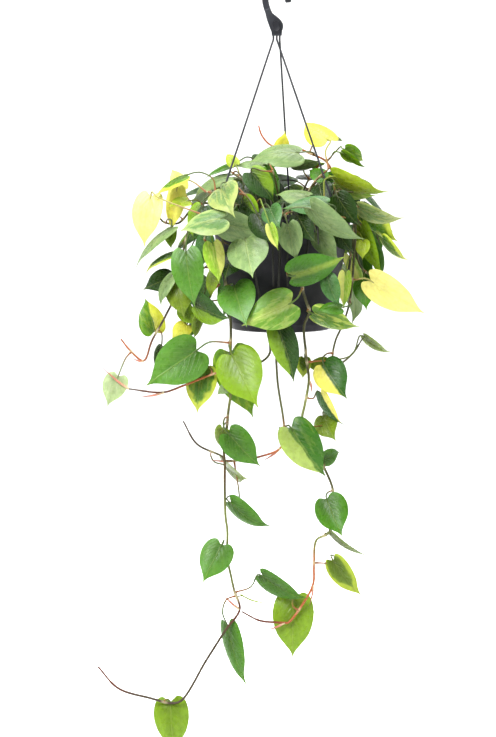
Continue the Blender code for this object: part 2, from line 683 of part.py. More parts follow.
    def grow_crown_stems(self):
        kinds = [("low", 8 + 33 * k) for k in range(CROWN_LOW)]
        kinds += [("middle", 20 + 45 * k) for k in range(CROWN_MIDDLE)]
        kinds += [("high", 40 + 72 * k) for k in range(CROWN_HIGH)]
        kinds += [("side", 72 * k) for k in range(CROWN_SIDE)]
        for kind, azimuth in kinds:
            for attempt in range(140):
                turn = azimuth + self.random.uniform(-1, 1) * (4 + attempt * 0.12)
                line = self.crown_line(math.radians(turn), kind, 3 + attempt * 0.08)
                self.add_stem("crown_stem", 1.3, line)
                stem = self.stems.pop()
                others = self.strands + [s.shape for s in self.stems] + [leaf.shape for leaf in self.leaves]
                if not self.over_rim(stem) and not any(stem.shape.hits(other) for other in others):
                    self.stems.append(stem)
                    break

    def stalk_starts(self, leaf, most, load):
        """Stems and points on them that a stalk could start from, the likeliest first."""
        along = (leaf.tip - leaf.notch).normalized()
        found = []
        for stem in self.stems:
            if stem.load >= (16 if stem.radius > 1.5 else load):
                continue
            for low, high in zip(stem.path, stem.path[1:]):
                for start in (high, low.lerp(high, 0.5)):
                    in_pot = math.hypot(start.x - POT_AXIS_X, start.y) < RIM_RADIUS - 2
                    if BASE_Z < start.z < RIM_Z - 4.6 and in_pot:
                        continue
                    far = (start - leaf.notch).length
                    if 10 <= far <= most:
                        facing = (leaf.notch - start).normalized().dot(along)
                        found.append((far + 14 * (1 - facing) + 3 * stem.load, len(found), stem, start))
        return sorted(found)

    def stalk_path(self, leaf, start, lift, bends):
        """The stalk's points from the stem to the notch."""
        along, _, face = blade_axes(leaf.notch, leaf.tip, leaf.roll)
        if bends == 0:
            out = face * leaf.moves
            over = leaf.notch + along * (7 + 4 * lift) + out * (10 + 6 * abs(lift))
            crest = leaf.notch - along * 4 + out * 10
            path = [start, over, crest, leaf.notch - along * 7 + out * 3]
        elif leaf.bend:
            middle = at_depth(leaf.bend[0], (start.y + leaf.notch.y) / 2, leaf.bend[1])
            path = [start, middle, leaf.notch - along * 5 + face * lift]
        else:
            far = (start - leaf.notch).length
            back = leaf.notch - along * (0.42 * far) + face * (lift * far * 0.4)
            out = start.lerp(back, 0.4) + Vector((0.0, 0.0, 0.12 * far))
            path = [start]
            for i in range(1, bends):
                t = i / bends
                u = 1 - t
                path.append(start * u**3 + out * (3 * t * u * u) + back * (3 * t * t * u) + leaf.notch * t**3)
        return [start] + [Vector([round(c) for c in point]) for point in path[1:]] + [leaf.notch]

    def join(self, leaf, most, tries, load, square=0.42, bends=3):
        """Gives a leaf a stalk from the likeliest stem with a clear way to it."""
        along = (leaf.tip - leaf.notch).normalized()
        lifts = (0.0, 0.35, -0.35, 0.7)
        if square < 0.4:
            lifts += (1.1, -0.8, 1.6)
        for _, _, stem, start in self.stalk_starts(leaf, most, load)[:tries]:
            for lift in lifts:
                path = self.stalk_path(leaf, start, lift, bends)
                last = path[-1] - path[-2]
                if last.length < 1.0 or last.normalized().dot(along) < square:
                    continue
                neck = path[-1].lerp(path[-2], 3.0 / last.length)
                if Shape(tube_skin(path[:-1] + [neck], 1.3, 1.2, 4)).hits(leaf.shape):
                    continue
                shape = Shape(tube_skin(path, STALK_ROOM, STALK_ROOM - 0.2, 4))
                if self.meets(shape, leaf, stem):
                    continue
                rest = Shape(tube_skin(path[1:], STALK_ROOM - 0.1, STALK_ROOM - 0.2, 4))
                if rest.hits(stem.shape) and lift < 0.7:
                    continue
                if sharpest_turn(path) > 100 or crosses_itself(leaf_skin(leaf, path)):
                    continue
                leaf.stem = stem
                leaf.stalk = path
                leaf.stalk_shape = shape
                stem.load += 1
                return True
        return False

    def join_seen_leaves(self):
        """Hanging leaves first, since fewest stems pass near them."""
        order = sorted(self.leaves, key=lambda leaf: leaf.notch.z >= -420)
        for leaf in order:
            near = self.join(leaf, 75, 90, 9) or self.join(leaf, 110, 300, 14)
            far = near or self.join(leaf, 130, 500, 16, square=0.1)
            if not far:
                self.join(leaf, 110, 900, 20, square=0.3, bends=0)
        self.leaves = [leaf for leaf in self.leaves if leaf.stem]

    def unseen_leaf(self):
        """A leaf drawn somewhere on the crown, mostly its far side, its face outward and up."""
        draw = self.random.uniform
        azimuth = draw(-15, 195) if self.random.random() < 0.8 else draw(0, 360)
        angle = math.radians(azimuth)
        band = self.random.random()
        if band < 0.38:
            z, radius, fall = draw(-236, -205), draw(25, 84), draw(-0.5, 0.1)
        elif band < 0.69:
            z, radius, fall = draw(-285, -232), draw(88, 112), draw(-1.4, -0.4)
        else:
            z, radius, fall = draw(-372, -285), draw(93, 116), draw(-4.0, -1.2)
        outward = Vector((math.cos(angle), math.sin(angle), 0.0))
        turn = angle + math.radians(draw(-50, 50))
        along = Vector((math.cos(turn), math.sin(turn), fall)).normalized()
        width = draw(34, 54)
        length = width * draw(1.22, 1.34)
        notch = Vector((POT_AXIS_X, 0.0, z + RIM_Z + 276.0)) + outward * radius
        tip = notch + along * length
        notch = Vector([round(c) for c in notch])
        tip = Vector([round(c) for c in tip])
        along, across, face = blade_axes(notch, tip, 0.0)
        wanted = (outward * 0.8 + Vector((0.0, 0.0, 1.0))).normalized()
        roll = math.degrees(math.atan2(wanted.dot(along.cross(face)), wanted.dot(face))) + draw(-18, 18)
        bow, cup = round(draw(0.04, 0.11), 2), round(draw(-0.22, 0.05), 2)
        leaf = Leaf(notch, tip, float(round(width)), float(round(roll)), bow, cup)
        leaf.shape = room_round(leaf)
        return leaf

    def out_of_sight(self, leaf, seen):
        """Whether a leaf lies within the crown's outline and, in front, behind what is seen."""
        outside = 0
        bare = 0
        for point in leaf.shape.points[:18]:
            if not inside_outline(*as_read(point), CROWN_OUTLINE):
                outside += 1
            toward = (VIEW_POINT - point).normalized()
            if not any(shape.tree.ray_cast(point, toward, 400)[0] is not None for shape in seen):
                bare += 1
        return outside == 0 and (bare <= 9 or leaf.notch.y >= 20)

    def add_unseen_leaves(self):
        added = 0
        for _ in range(6000):
            if added == UNSEEN_LEAVES:
                break
            leaf = self.unseen_leaf()
            if self.meets(leaf.shape):
                continue
            if not self.out_of_sight(leaf, [other.shape for other in self.leaves] + [self.pot]):
                continue
            if self.join(leaf, 62, 30, 7, bends=2):
                self.leaves.append(leaf)
                added += 1


def clear_scene():
    for obj in list(bpy.data.objects):
        bpy.data.objects.remove(obj, do_unlink=True)


def material(name):
    found = bpy.data.materials.get(name)
    if found:
        return found
    red, green, blue, roughness = COLOURS[name]
    made = bpy.data.materials.new(name)
    made.use_nodes = True
    shader = made.node_tree.nodes["Principled BSDF"]
    shader.inputs["Base Color"].default_value = (red, green, blue, 1.0)
    shader.inputs["Roughness"].default_value = roughness
    made.diffuse_color = (red, green, blue, 1.0)
    return made


def mesh_object(name, skin):
    """An object from millimetre points and faces, with its faces turned outward."""
    points, faces = skin
    mesh = bpy.data.meshes.new(name)
    mesh.from_pydata([Vector(p) * MM for p in points], [], faces)
    work = bmesh.new()
    work.from_mesh(mesh)
    bmesh.ops.recalc_face_normals(work, faces=work.faces)
    bmesh.ops.triangulate(work, faces=work.faces)
    work.to_mesh(mesh)
    work.free()
    obj = bpy.data.objects.new(name, mesh)
    bpy.context.scene.collection.objects.link(obj)
    return obj


def combine(target, others, operation):
    """One Boolean of all the others on the target, applied; the others are removed."""
    helpers = bpy.data.collections.new("helpers")
    for other in others:
        helpers.objects.link(other)
        other.hide_render = True
        other.display_type = "WIRE"
    modifier = target.modifiers.new("combine", "BOOLEAN")
    modifier.operation = operation
    modifier.operand_type = "COLLECTION"
    modifier.collection = helpers
    graph = bpy.context.evaluated_depsgraph_get()
    result = bpy.data.meshes.new_from_object(target.evaluated_get(graph))
    target.modifiers.clear()
    target.data = result
    for other in others:
        bpy.data.objects.remove(other, do_unlink=True)
    bpy.data.collections.remove(helpers)


def peg(x, y, low, high, radius, sides):
    return mesh_object("peg", prism_skin(round_outline(x, y, radius, sides), low, high))


def slab(name, outline, low, high):
    """An outline of (x, z) made solid between two depths."""
    points, faces = prism_skin(outline, low, high)
    return mesh_object(name, ([(x, y, z) for x, z, y in points], faces))


def build_pot():
    """The tapered pot with its turned-out rim, strand holes and drain holes."""
    top = RIM_Z + FLANGE_THICKNESS
    floor = BASE_Z + POT_FLOOR
    profile = (
        (BASE_RADIUS - 1.6, BASE_Z),
        (BASE_RADIUS + 0.4, BASE_Z + 2.0),
        (RIM_RADIUS, RIM_Z),
        (FLANGE_RADIUS - LIP_THICKNESS, RIM_Z),
        (FLANGE_RADIUS - LIP_THICKNESS, top - LIP_DEPTH),
        (FLANGE_RADIUS, top - LIP_DEPTH),
        (FLANGE_RADIUS, top - 0.8),
        (FLANGE_RADIUS - 0.8, top),
        (RIM_RADIUS - POT_WALL, top),
        (BASE_RADIUS - POT_WALL + 0.4, floor),
    )
    pot = mesh_object("pot", turned_skin(profile, POT_SIDES))
    cutters = []
    for _, azimuth in STRANDS.values():
        x, y = strand_foot(azimuth)
        cutters.append(peg(x, y, RIM_Z - 2.0, top + 2.0, STRAND_HOLE_RADIUS, 8))
    for i in range(DRAIN_HOLES):
        turn = 2 * math.pi * i / DRAIN_HOLES
        x = POT_AXIS_X + DRAIN_CIRCLE * math.cos(turn)
        cutters.append(peg(x, DRAIN_CIRCLE * math.sin(turn), BASE_Z - 2.0, floor + 2.0, DRAIN_RADIUS, 6))
    combine(pot, cutters, "DIFFERENCE")
    pot.data.materials.append(material("pot_plastic"))


def build_soil(stems):
    """Potting mix filling the pot to its fill line, with a plain hole for each stem."""
    slope = (RIM_RADIUS - BASE_RADIUS) / (RIM_Z - BASE_Z)
    bottom = BASE_Z + POT_FLOOR + SOIL_GAP
    top_radius = BASE_RADIUS - POT_WALL + slope * (SOIL_TOP_Z - BASE_Z) - SOIL_GAP - 0.6
    profile = (
        (BASE_RADIUS - POT_WALL - SOIL_GAP - 0.6, bottom),
        (top_radius, SOIL_TOP_Z - 1.5),
        (top_radius - 6.0, SOIL_TOP_Z),
    )
    soil = mesh_object("soil", turned_skin(profile, POT_SIDES))
    cutters = []
    for stem in stems:
        foot = stem.path[0]
        reach = stem.radius + STEM_HOLE_CLEARANCE
        cutters.append(peg(foot.x, foot.y, STEM_FOOT_Z - 0.6, SOIL_TOP_Z + 4.0, reach, 5))
    combine(soil, cutters, "DIFFERENCE")
    soil.data.materials.append(material("potting_mix"))


def hook_line():
    """The hook's middle line, from its tip over the saddle to the boss."""
    radius = HOOK_INNER_RADIUS + HOOK_WIDTH / 2
    centre = -HOOK_INNER_RADIUS
    line = [(radius + 0.6, centre - 6.5), (radius + 0.2, centre - 3.0)]
    for step in range(11):
        turn = math.pi * step / 10
        line.append((radius * math.cos(turn), centre + radius * math.sin(turn)))
    line += [(-radius + 0.6, centre - 7.0), (-10.6, -24.5), (-7.4, -31.5), (-3.8, -37.5)]
    return [Vector((x, 0.0, z)) for x, z in line]


def ribbon(name, line, width, thickness):
    """A bar of rectangular section with chamfered edges along a line in the plane y = 0."""
    last = len(line) - 1
    cut = 1.1
    half_w = width / 2
    half_t = thickness / 2
    section = (
        (half_w, half_t - cut), (half_w - cut, half_t), (cut - half_w, half_t), (-half_w, half_t - cut),
        (-half_w, cut - half_t), (cut - half_w, -half_t), (half_w - cut, -half_t), (half_w, cut - half_t),
    )
    points = []
    for i, at in enumerate(line):
        along = (line[min(i + 1, last)] - line[max(i - 1, 0)]).normalized()
        across = Vector((-along.z, 0.0, along.x))
        points += [at + across * w + Vector((0.0, t, 0.0)) for w, t in section]
    count = len(section)
    faces = [tuple(range(count)), tuple(range(last * count, (last + 1) * count))]
    for i in range(last):
        for k in range(count):
            a = i * count + k
            b = i * count + (k + 1) % count
            faces.append((a, b, b + count, a + count))
    return mesh_object(name, (points, faces))


def oval(centre_z, half_width, half_height, sides):
    """An oval in (x, z) about the drop's middle."""
    turns = [2 * math.pi * step / sides for step in range(sides)]
    return [(0.2 + half_width * math.cos(turn), centre_z + half_height * math.sin(turn)) for turn in turns]


def build_hook():
    """The hook and its drop-shaped boss, with a sunk oval on both faces and three strand sockets."""
    hook = ribbon("hanger_hook", hook_line(), HOOK_WIDTH, HOOK_THICKNESS)
    half = BOSS_THICKNESS / 2
    boss = slab("boss", BOSS_EDGE, -half, half)
    low = COLLAR_BOTTOM_Z
    collar = slab("collar", ((-6.0, -47.5), (6.7, -47.5), (6.4, low), (-5.7, low)), -half + 0.2, half - 0.2)
    combine(hook, [boss, collar], "UNION")
    cutters = []
    for side in (-1, 1):
        near, far = sorted((side * (half - RECESS_DEPTH), side * (half + 2.0)))
        cutters.append(slab("recess", oval(RECESS_CENTRE_Z, 3.9, 6.0, 12), near, far))
    for (x, y), _ in STRANDS.values():
        cutters.append(peg(x, y, low - 4.0, low + SOCKET_DEPTH, SOCKET_RADIUS, 7))
    combine(hook, cutters, "DIFFERENCE")
    hook.data.materials.append(material("hook_plastic"))


def build_strand(name, top, azimuth):
    """A strand from its socket in the boss to its snap head under the rim."""
    strand = mesh_object(name, tube_skin(strand_path(top, azimuth), STRAND_RADIUS, STRAND_RADIUS, 6))
    x, y = strand_foot(azimuth)
    combine(strand, [peg(x, y, RIM_Z - 3.0, RIM_Z - 0.4, STRAND_HEAD_RADIUS, 8)], "UNION")
    strand.data.materials.append(material("hook_plastic"))


def sheath_line(path, root, tip):
    """A sheath's two ends, moved so that it grows from the nearest point of its stem."""
    root = at_depth(*root)
    tip = at_depth(*tip)
    best = None
    for low, high in zip(path, path[1:]):
        run = high - low
        share = max(0.0, min(1.0, (root - low).dot(run) / run.length_squared))
        point = low + run * share
        if best is None or (point - root).length < (best - root).length:
            best = point
    return [best, best + tip - root]


def build_stem(name, stem, leaves):
    """A leafy stem: the stem, its leaf stalks, blades and sheaths in one piece."""
    skin = tube_skin(stem.path, stem.radius, stem.radius - STEM_TAPER, STEM_SIDES)
    body = mesh_object(name, skin)
    parts = [mesh_object("leaf", leaf_skin(leaf, leaf.stalk)) for leaf in leaves if leaf.stem is stem]
    for owner, root, tip in SHEATHS:
        if owner == name:
            line = sheath_line(stem.path, root, tip)
            parts.append(mesh_object("sheath", tube_skin(line, SHEATH_RADIUS, 0.4, 4)))
    combine(body, parts, "UNION")
    body.data.materials.append(material("leaf"))


def main():
    clear_scene()
    plant = Plant()
    stems = [stem for stem in plant.stems if stem.load]
    build_pot()
    build_soil(stems)
    build_hook()
    for name, (top, azimuth) in STRANDS.items():
        build_strand("hanger_strand_" + name, top, azimuth)
    crown = 0
    for stem in stems:
        if stem.name == "crown_stem":
            crown += 1
            build_stem(f"crown_stem_{crown:02d}", stem, plant.leaves)
        else:
            build_stem(stem.name, stem, plant.leaves)
    for obj in bpy.data.objects:
        obj.data.shade_smooth()
        obj.data.set_sharp_from_angle(angle=math.radians(40))


main()
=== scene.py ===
"""Hanging potted philodendron, dressed for its portrait.

The pot, its three-strand hanger and the leafy stems come in as plain solids. This file lays finer
pieces over them: turned plastic with rolled edges, a moulded hook, loose potting mix, and leaves with
drip tips, sunken midribs and their variegation. Sizes are in millimetres unless a docstring says metres.
"""

import logging
import math
import random
from collections.abc import Iterable, Mapping
from dataclasses import dataclass
from enum import Enum

import bmesh
import bpy
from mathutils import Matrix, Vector, noise


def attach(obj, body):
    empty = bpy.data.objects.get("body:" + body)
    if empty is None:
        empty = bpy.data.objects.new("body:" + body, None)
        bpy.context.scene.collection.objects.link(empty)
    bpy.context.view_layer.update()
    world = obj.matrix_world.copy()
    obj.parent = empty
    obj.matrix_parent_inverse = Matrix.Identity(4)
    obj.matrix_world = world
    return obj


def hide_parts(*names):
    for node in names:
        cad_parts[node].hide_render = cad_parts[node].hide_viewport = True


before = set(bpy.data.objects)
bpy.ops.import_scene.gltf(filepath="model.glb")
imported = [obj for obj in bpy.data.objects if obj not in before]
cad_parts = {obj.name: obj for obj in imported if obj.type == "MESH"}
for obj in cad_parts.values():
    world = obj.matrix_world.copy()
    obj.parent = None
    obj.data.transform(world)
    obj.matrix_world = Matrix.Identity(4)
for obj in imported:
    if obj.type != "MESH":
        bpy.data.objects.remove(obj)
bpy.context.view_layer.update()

LOG = logging.getLogger("philodendron")
MM = 0.001
ROUND = 2 * math.pi

POT_AXIS_X = 6.0
RIM_Z = -270.4
STRAND_CIRCLE = 85.8
# strand: its socket's place in the collar, then the angle of its hole in the rim
STRANDS = {"left": ((-3.6, -0.9), 206.0), "right": ((0.4, -1.2), 318.0), "back": ((3.9, 1.2), 82.0)}

Colour = tuple[float, float, float]
Place = tuple[float, float, float]
Post = tuple[int, int]
Face = tuple[int, ...]
Skin = tuple[list[Vector], list[Face]]
Material = bpy.types.Material
Piece = bpy.types.Object
Socket = bpy.types.NodeSocket
Inputs = Mapping[int | str, object] | Iterable[tuple[int, object]]


def srgb(*levels: int) -> Colour:
    """Turns red, green and blue read off a screen, 0 to 255, into linear light, 0 to 1."""
    shares = [level / 255 for level in levels]
    return tuple(share / 12.92 if share <= 0.04045 else ((share + 0.055) / 1.055) ** 2.4 for share in shares)


def blend(low: Colour, high: Colour, share: float) -> Colour:
    """Mixes two colours: all of the first at share 0, all of the second at share 1."""
    share = max(0.0, min(1.0, share))
    return tuple(a + (b - a) * share for a, b in zip(low, high))


def smooth(value: float, low: float, high: float) -> float:
    """Eases a value from 0 at low to 1 at high."""
    share = max(0.0, min(1.0, (value - low) / (high - low)))
    return share * share * (3 - 2 * share)


def between(low: Vector, high: Vector, start: float, end: float, t: float) -> Vector:
    """The place at t on the straight way from a point at start to another at end."""
    return low * ((end - t) / (end - start)) + high * ((t - start) / (end - start))


def curve_through(points: list[Vector], step: float) -> list[Vector]:
    """Lays a smooth curve through points.

    Args:
        points: The points that the curve passes through.
        step: About how far apart the points returned lie.

    Returns:
        The points along the curve, both ends included.
    """
    if len(points) < 3:
        return [point.copy() for point in points]
    ends = [points[0] * 2 - points[1]] + points + [points[-1] * 2 - points[-2]]
    line: list[Vector] = []
    for a, b, c, d in zip(ends, ends[1:], ends[2:], ends[3:]):
        knots = [0.0]
        for low, high in ((a, b), (b, c), (c, d)):
            knots.append(knots[-1] + max((high - low).length, 0.01) ** 0.5)
        t0, t1, t2, t3 = knots
        count = max(2, round((c - b).length / step))
        for i in range(count):
            t = t1 + (t2 - t1) * i / count
            ab, bc, cd = between(a, b, t0, t1, t), between(b, c, t1, t2, t), between(c, d, t2, t3, t)
            line.append(between(between(ab, bc, t0, t2, t), between(bc, cd, t1, t3, t), t1, t2, t))
    line.append(points[-1].copy())
    return line


def nearest_on(line: list[Vector], point: Vector) -> Vector:
    """Finds the place on a line of points that is nearest to a point.

    Args:
        line: The points of the line.
        point: The point to come near.

    Returns:
        The nearest place.
    """
    places = []
    for low, high in zip(line, line[1:]):
        run = high - low
        share = max(0.0, min(1.0, (point - low).dot(run) / max(run.length_squared, 1e-9)))
        places.append(low + run * share)
    return min(places, key=lambda place: (place - point).length)


def heading(line: list[Vector], i: int) -> Vector:
    """The direction of a line of points at its point number i."""
    return (line[min(i + 1, len(line) - 1)] - line[max(i - 1, 0)]).normalized()


def around(radius: float, turn: float, height: float, centre: float = POT_AXIS_X) -> Vector:
    """The point at an angle on a level circle round the pot's axis, or round another centre on the x axis."""
    return Vector((centre + radius * math.cos(turn), radius * math.sin(turn), height))


def circle(radius: float, height: float, sides: int, centre: float = POT_AXIS_X) -> list[Vector]:
    """The points of a level circle round the pot's axis, or round another centre on the x axis."""
    return [around(radius, ROUND * step / sides, height, centre) for step in range(sides)]


def loft(rings: list[list[Vector]], middle: Vector | None = None, closed: bool = True) -> Skin:
    """Joins rings of points, each with as many points as the next, into one skin.

    Args:
        rings: The rings in order.
        middle: The point that the first ring's cap fans round, where it isn't one flat face.
        closed: Whether the last ring has a cap.

    Returns:
        The points and faces of the skin.
    """
    sides = len(rings[0])
    last = (len(rings) - 1) * sides
    points = [point for ring in rings for point in ring]
    faces: list[Face] = [tuple(range(last, last + sides))] if closed else []
    if middle is None:
        faces.append(tuple(reversed(range(sides))))
    else:
        faces += [(len(points), step, (step + 1) % sides) for step in range(sides)]
        points.append(middle)
    for row in range(0, last, sides):
        for step in range(sides):
            a, b = row + step, row + (step + 1) % sides
            faces.append((a, b, b + sides, a + sides))
    return points, faces


def tube(line: list[Vector], radii: list[float], sides: int) -> Skin:
    """Makes a capped round tube along a line.

    Args:
        line: The points of the line.
        radii: The radius at each point.
        sides: How many sides the tube has.

    Returns:
        The points and faces of the tube.
    """
    rings = []
    turns = [ROUND * step / sides for step in range(sides)]
    across = Vector()
    for i, at in enumerate(line):
        along = heading(line, i)
        across = across - along * across.dot(along)
        across = across.normalized() if across.length > 0.2 else along.orthogonal().normalized()
        other = along.cross(across)
        rings.append([at + (across * math.cos(turn) + other * math.sin(turn)) * radii[i] for turn in turns])
    return loft(rings)


def pin(at: Vector, low: float, high: float, radius: float, sides: int) -> Skin:
    """An upright round pin at a place, from one height to another."""
    return tube([Vector((at.x, at.y, low)), Vector((at.x, at.y, high))], [radius] * 2, sides)


def upright(places: Iterable[tuple[float, float]]) -> list[Vector]:
    """Sets (x, z) places in the hook's plane."""
    return [Vector((x, 0.0, z)) for x, z in places]


def mesh_piece(name: str, skin: Skin, *materials: Material) -> Piece:
    """Makes a smooth-shaded mesh object, in metres, from a skin in millimetres.

    Args:
        name: The piece's name.
        skin: Its points and faces.
        materials: The materials in its slots.

    Returns:
        The new object.
    """
    mesh = bpy.data.meshes.new(name)
    mesh.from_pydata([point * MM for point in skin[0]], [], skin[1])
    form = bmesh.new()
    form.from_mesh(mesh)
    bmesh.ops.recalc_face_normals(form, faces=form.faces)
    form.to_mesh(mesh)
    form.free()
    for material in materials:
        mesh.materials.append(material)
    obj = bpy.data.objects.new(name, mesh)
    bpy.context.scene.collection.objects.link(obj)
    mesh.shade_smooth()
    return obj


def combine(target: Piece, others: list[Piece], operation: str, solver: str = "EXACT") -> None:
    """Applies one Boolean of several objects to a target and removes them.

    Args:
        target: The object that is changed.
        others: The objects joined to it or cut from it.
        operation: UNION or DIFFERENCE.
        solver: EXACT, or MANIFOLD for the many leaves of one stem, where EXACT is slow.
    """
    helpers = bpy.data.collections.new("helpers")
    for other in others:
        helpers.objects.link(other)
    modifier = target.modifiers.new("combine", "BOOLEAN")
    modifier.operation = operation
    modifier.solver = solver
    modifier.material_mode = "TRANSFER"
    modifier.operand_type = "COLLECTION"
    modifier.collection = helpers
    graph = bpy.context.evaluated_depsgraph_get()
    result = bpy.data.meshes.new_from_object(target.evaluated_get(graph))
    target.modifiers.clear()
    target.data = result
    for other in others:
        bpy.data.objects.remove(other, do_unlink=True)
    bpy.data.collections.remove(helpers)


def keep_edges_sharp(obj: Piece, degrees: float) -> None:
    """Shades an object smooth except over edges sharper than an angle."""
    obj.data.shade_smooth()
    obj.data.set_sharp_from_angle(angle=math.radians(degrees))


class Graph:
    """A material's shader and nodes, each made and joined in one line."""

    def __init__(self, name: str) -> None:
        """Starts a material with one Principled shader.

        Args:
            name: The material's name.
        """
        self.material = bpy.data.materials.new(name)
        self.material.use_nodes = True
        self.tree = self.material.node_tree
        self.shader = self.tree.nodes["Principled BSDF"]

    def put(self, socket: Socket, value: object) -> None:
        """Joins a socket to another socket, or sets its value.

        Args:
            socket: The input.
            value: An output socket, a number or a colour.
        """
        if isinstance(value, Socket):
            self.tree.links.new(value, socket)
        elif isinstance(value, tuple) and len(value) == 3 and len(socket.default_value) == 4:
            socket.default_value = (*value, 1.0)
        else:
            socket.default_value = value

    def node(self, kind: str, inputs: Inputs = (), **settings: object) -> bpy.types.Node:
        """Adds a node.

        Args:
            kind: The node's type.
            inputs: The number or name of each input that is set or joined, and its value.
            settings: The node's own settings by name.

        Returns:
            The new node.
        """
        made = self.tree.nodes.new(kind)
        for key, value in settings.items():
            setattr(made, key, value)
        for key, value in dict(inputs).items():
            self.put(made.inputs[key], value)
        return made

    def set(self, name: str, value: object) -> None:
        """Sets or joins one of the shader's sockets."""
        self.put(self.shader.inputs[name], value)

    def painted(self, name: str) -> bpy.types.Node:
        """Reads a colour painted on the mesh."""
        return self.node("ShaderNodeAttribute", attribute_name=name)

    def math(self, operation: str, *values: object) -> Socket:
        """Works out a number from others."""
        return self.node("ShaderNodeMath", enumerate(values), operation=operation).outputs[0]

    def times(self, first: object, second: object) -> Socket:
        """Multiplies two numbers."""
        return self.math("MULTIPLY", first, second)

    def plus(self, first: object, second: object, added: object) -> Socket:
        """Multiplies two numbers and adds a third."""
        return self.math("MULTIPLY_ADD", first, second, added)

    def most(self, first: object, *others: object) -> Socket:
        """The largest of several numbers."""
        return self.math("MAXIMUM", first, self.most(*others)) if others else first

    def eased(self, value: object, low: float, high: float, start: object = 0.0, end: float = 1.0) -> Socket:
        """Eases a value from start, at low, to end, at high."""
        numbers = enumerate((value, low, high, start, end))
        return self.node("ShaderNodeMapRange", numbers, interpolation_type="SMOOTHSTEP").outputs[0]

    def mix(self, share: object, low: object, high: object, kind: str = "MIX") -> Socket:
        """Mixes two colours in one of the ways of mixing, all of the second at share 1."""
        inputs = {0: share, 6: low, 7: high}
        return self.node("ShaderNodeMix", inputs, data_type="RGBA", blend_type=kind).outputs[2]

    def grain(self, scale: float, detail: float, vector: object = None, roughness: float = 0.5) -> Socket:
        """Adds cloudy noise over the piece's own coordinates.

        Args:
            scale: How many clouds to a metre, or to a unit of the vector.
            detail: How many finer layers.
            vector: Other coordinates.
            roughness: How strong the finer layers are.

        Returns:
            The noise, 0 to 1.
        """
        if vector is None:
            vector = self.node("ShaderNodeTexCoord").outputs["Object"]
        inputs = {"Vector": vector, "Scale": scale, "Detail": detail, "Roughness": roughness}
        return self.node("ShaderNodeTexNoise", inputs).outputs[0]

    def tinted(self, colour: object, share: object) -> Socket:
        """Makes a colour darker or lighter, by what it is multiplied by."""
        return self.node("ShaderNodeVectorMath", {0: colour, "Scale": share}, operation="SCALE").outputs[0]

    def roughen(self, clouds: Socket, low: float, high: float) -> None:
        """Sets the shader's roughness from clouds, from a low to a high value."""
        self.set("Roughness", self.eased(clouds, 0.3, 0.7, low, high))

    def relief(self, height: object, depth: float, strength: float) -> None:
        """Gives the shader a bump as deep, in metres, where the height is 1."""
        bump = self.node("ShaderNodeBump", {"Strength": strength, "Distance": depth, "Height": height})
        self.set("Normal", bump.outputs[0])


class BladeSide(Enum):
    """Which face of a leaf blade a finish is for."""

    UPPER = "leaf_upper"
    UNDER = "leaf_under"


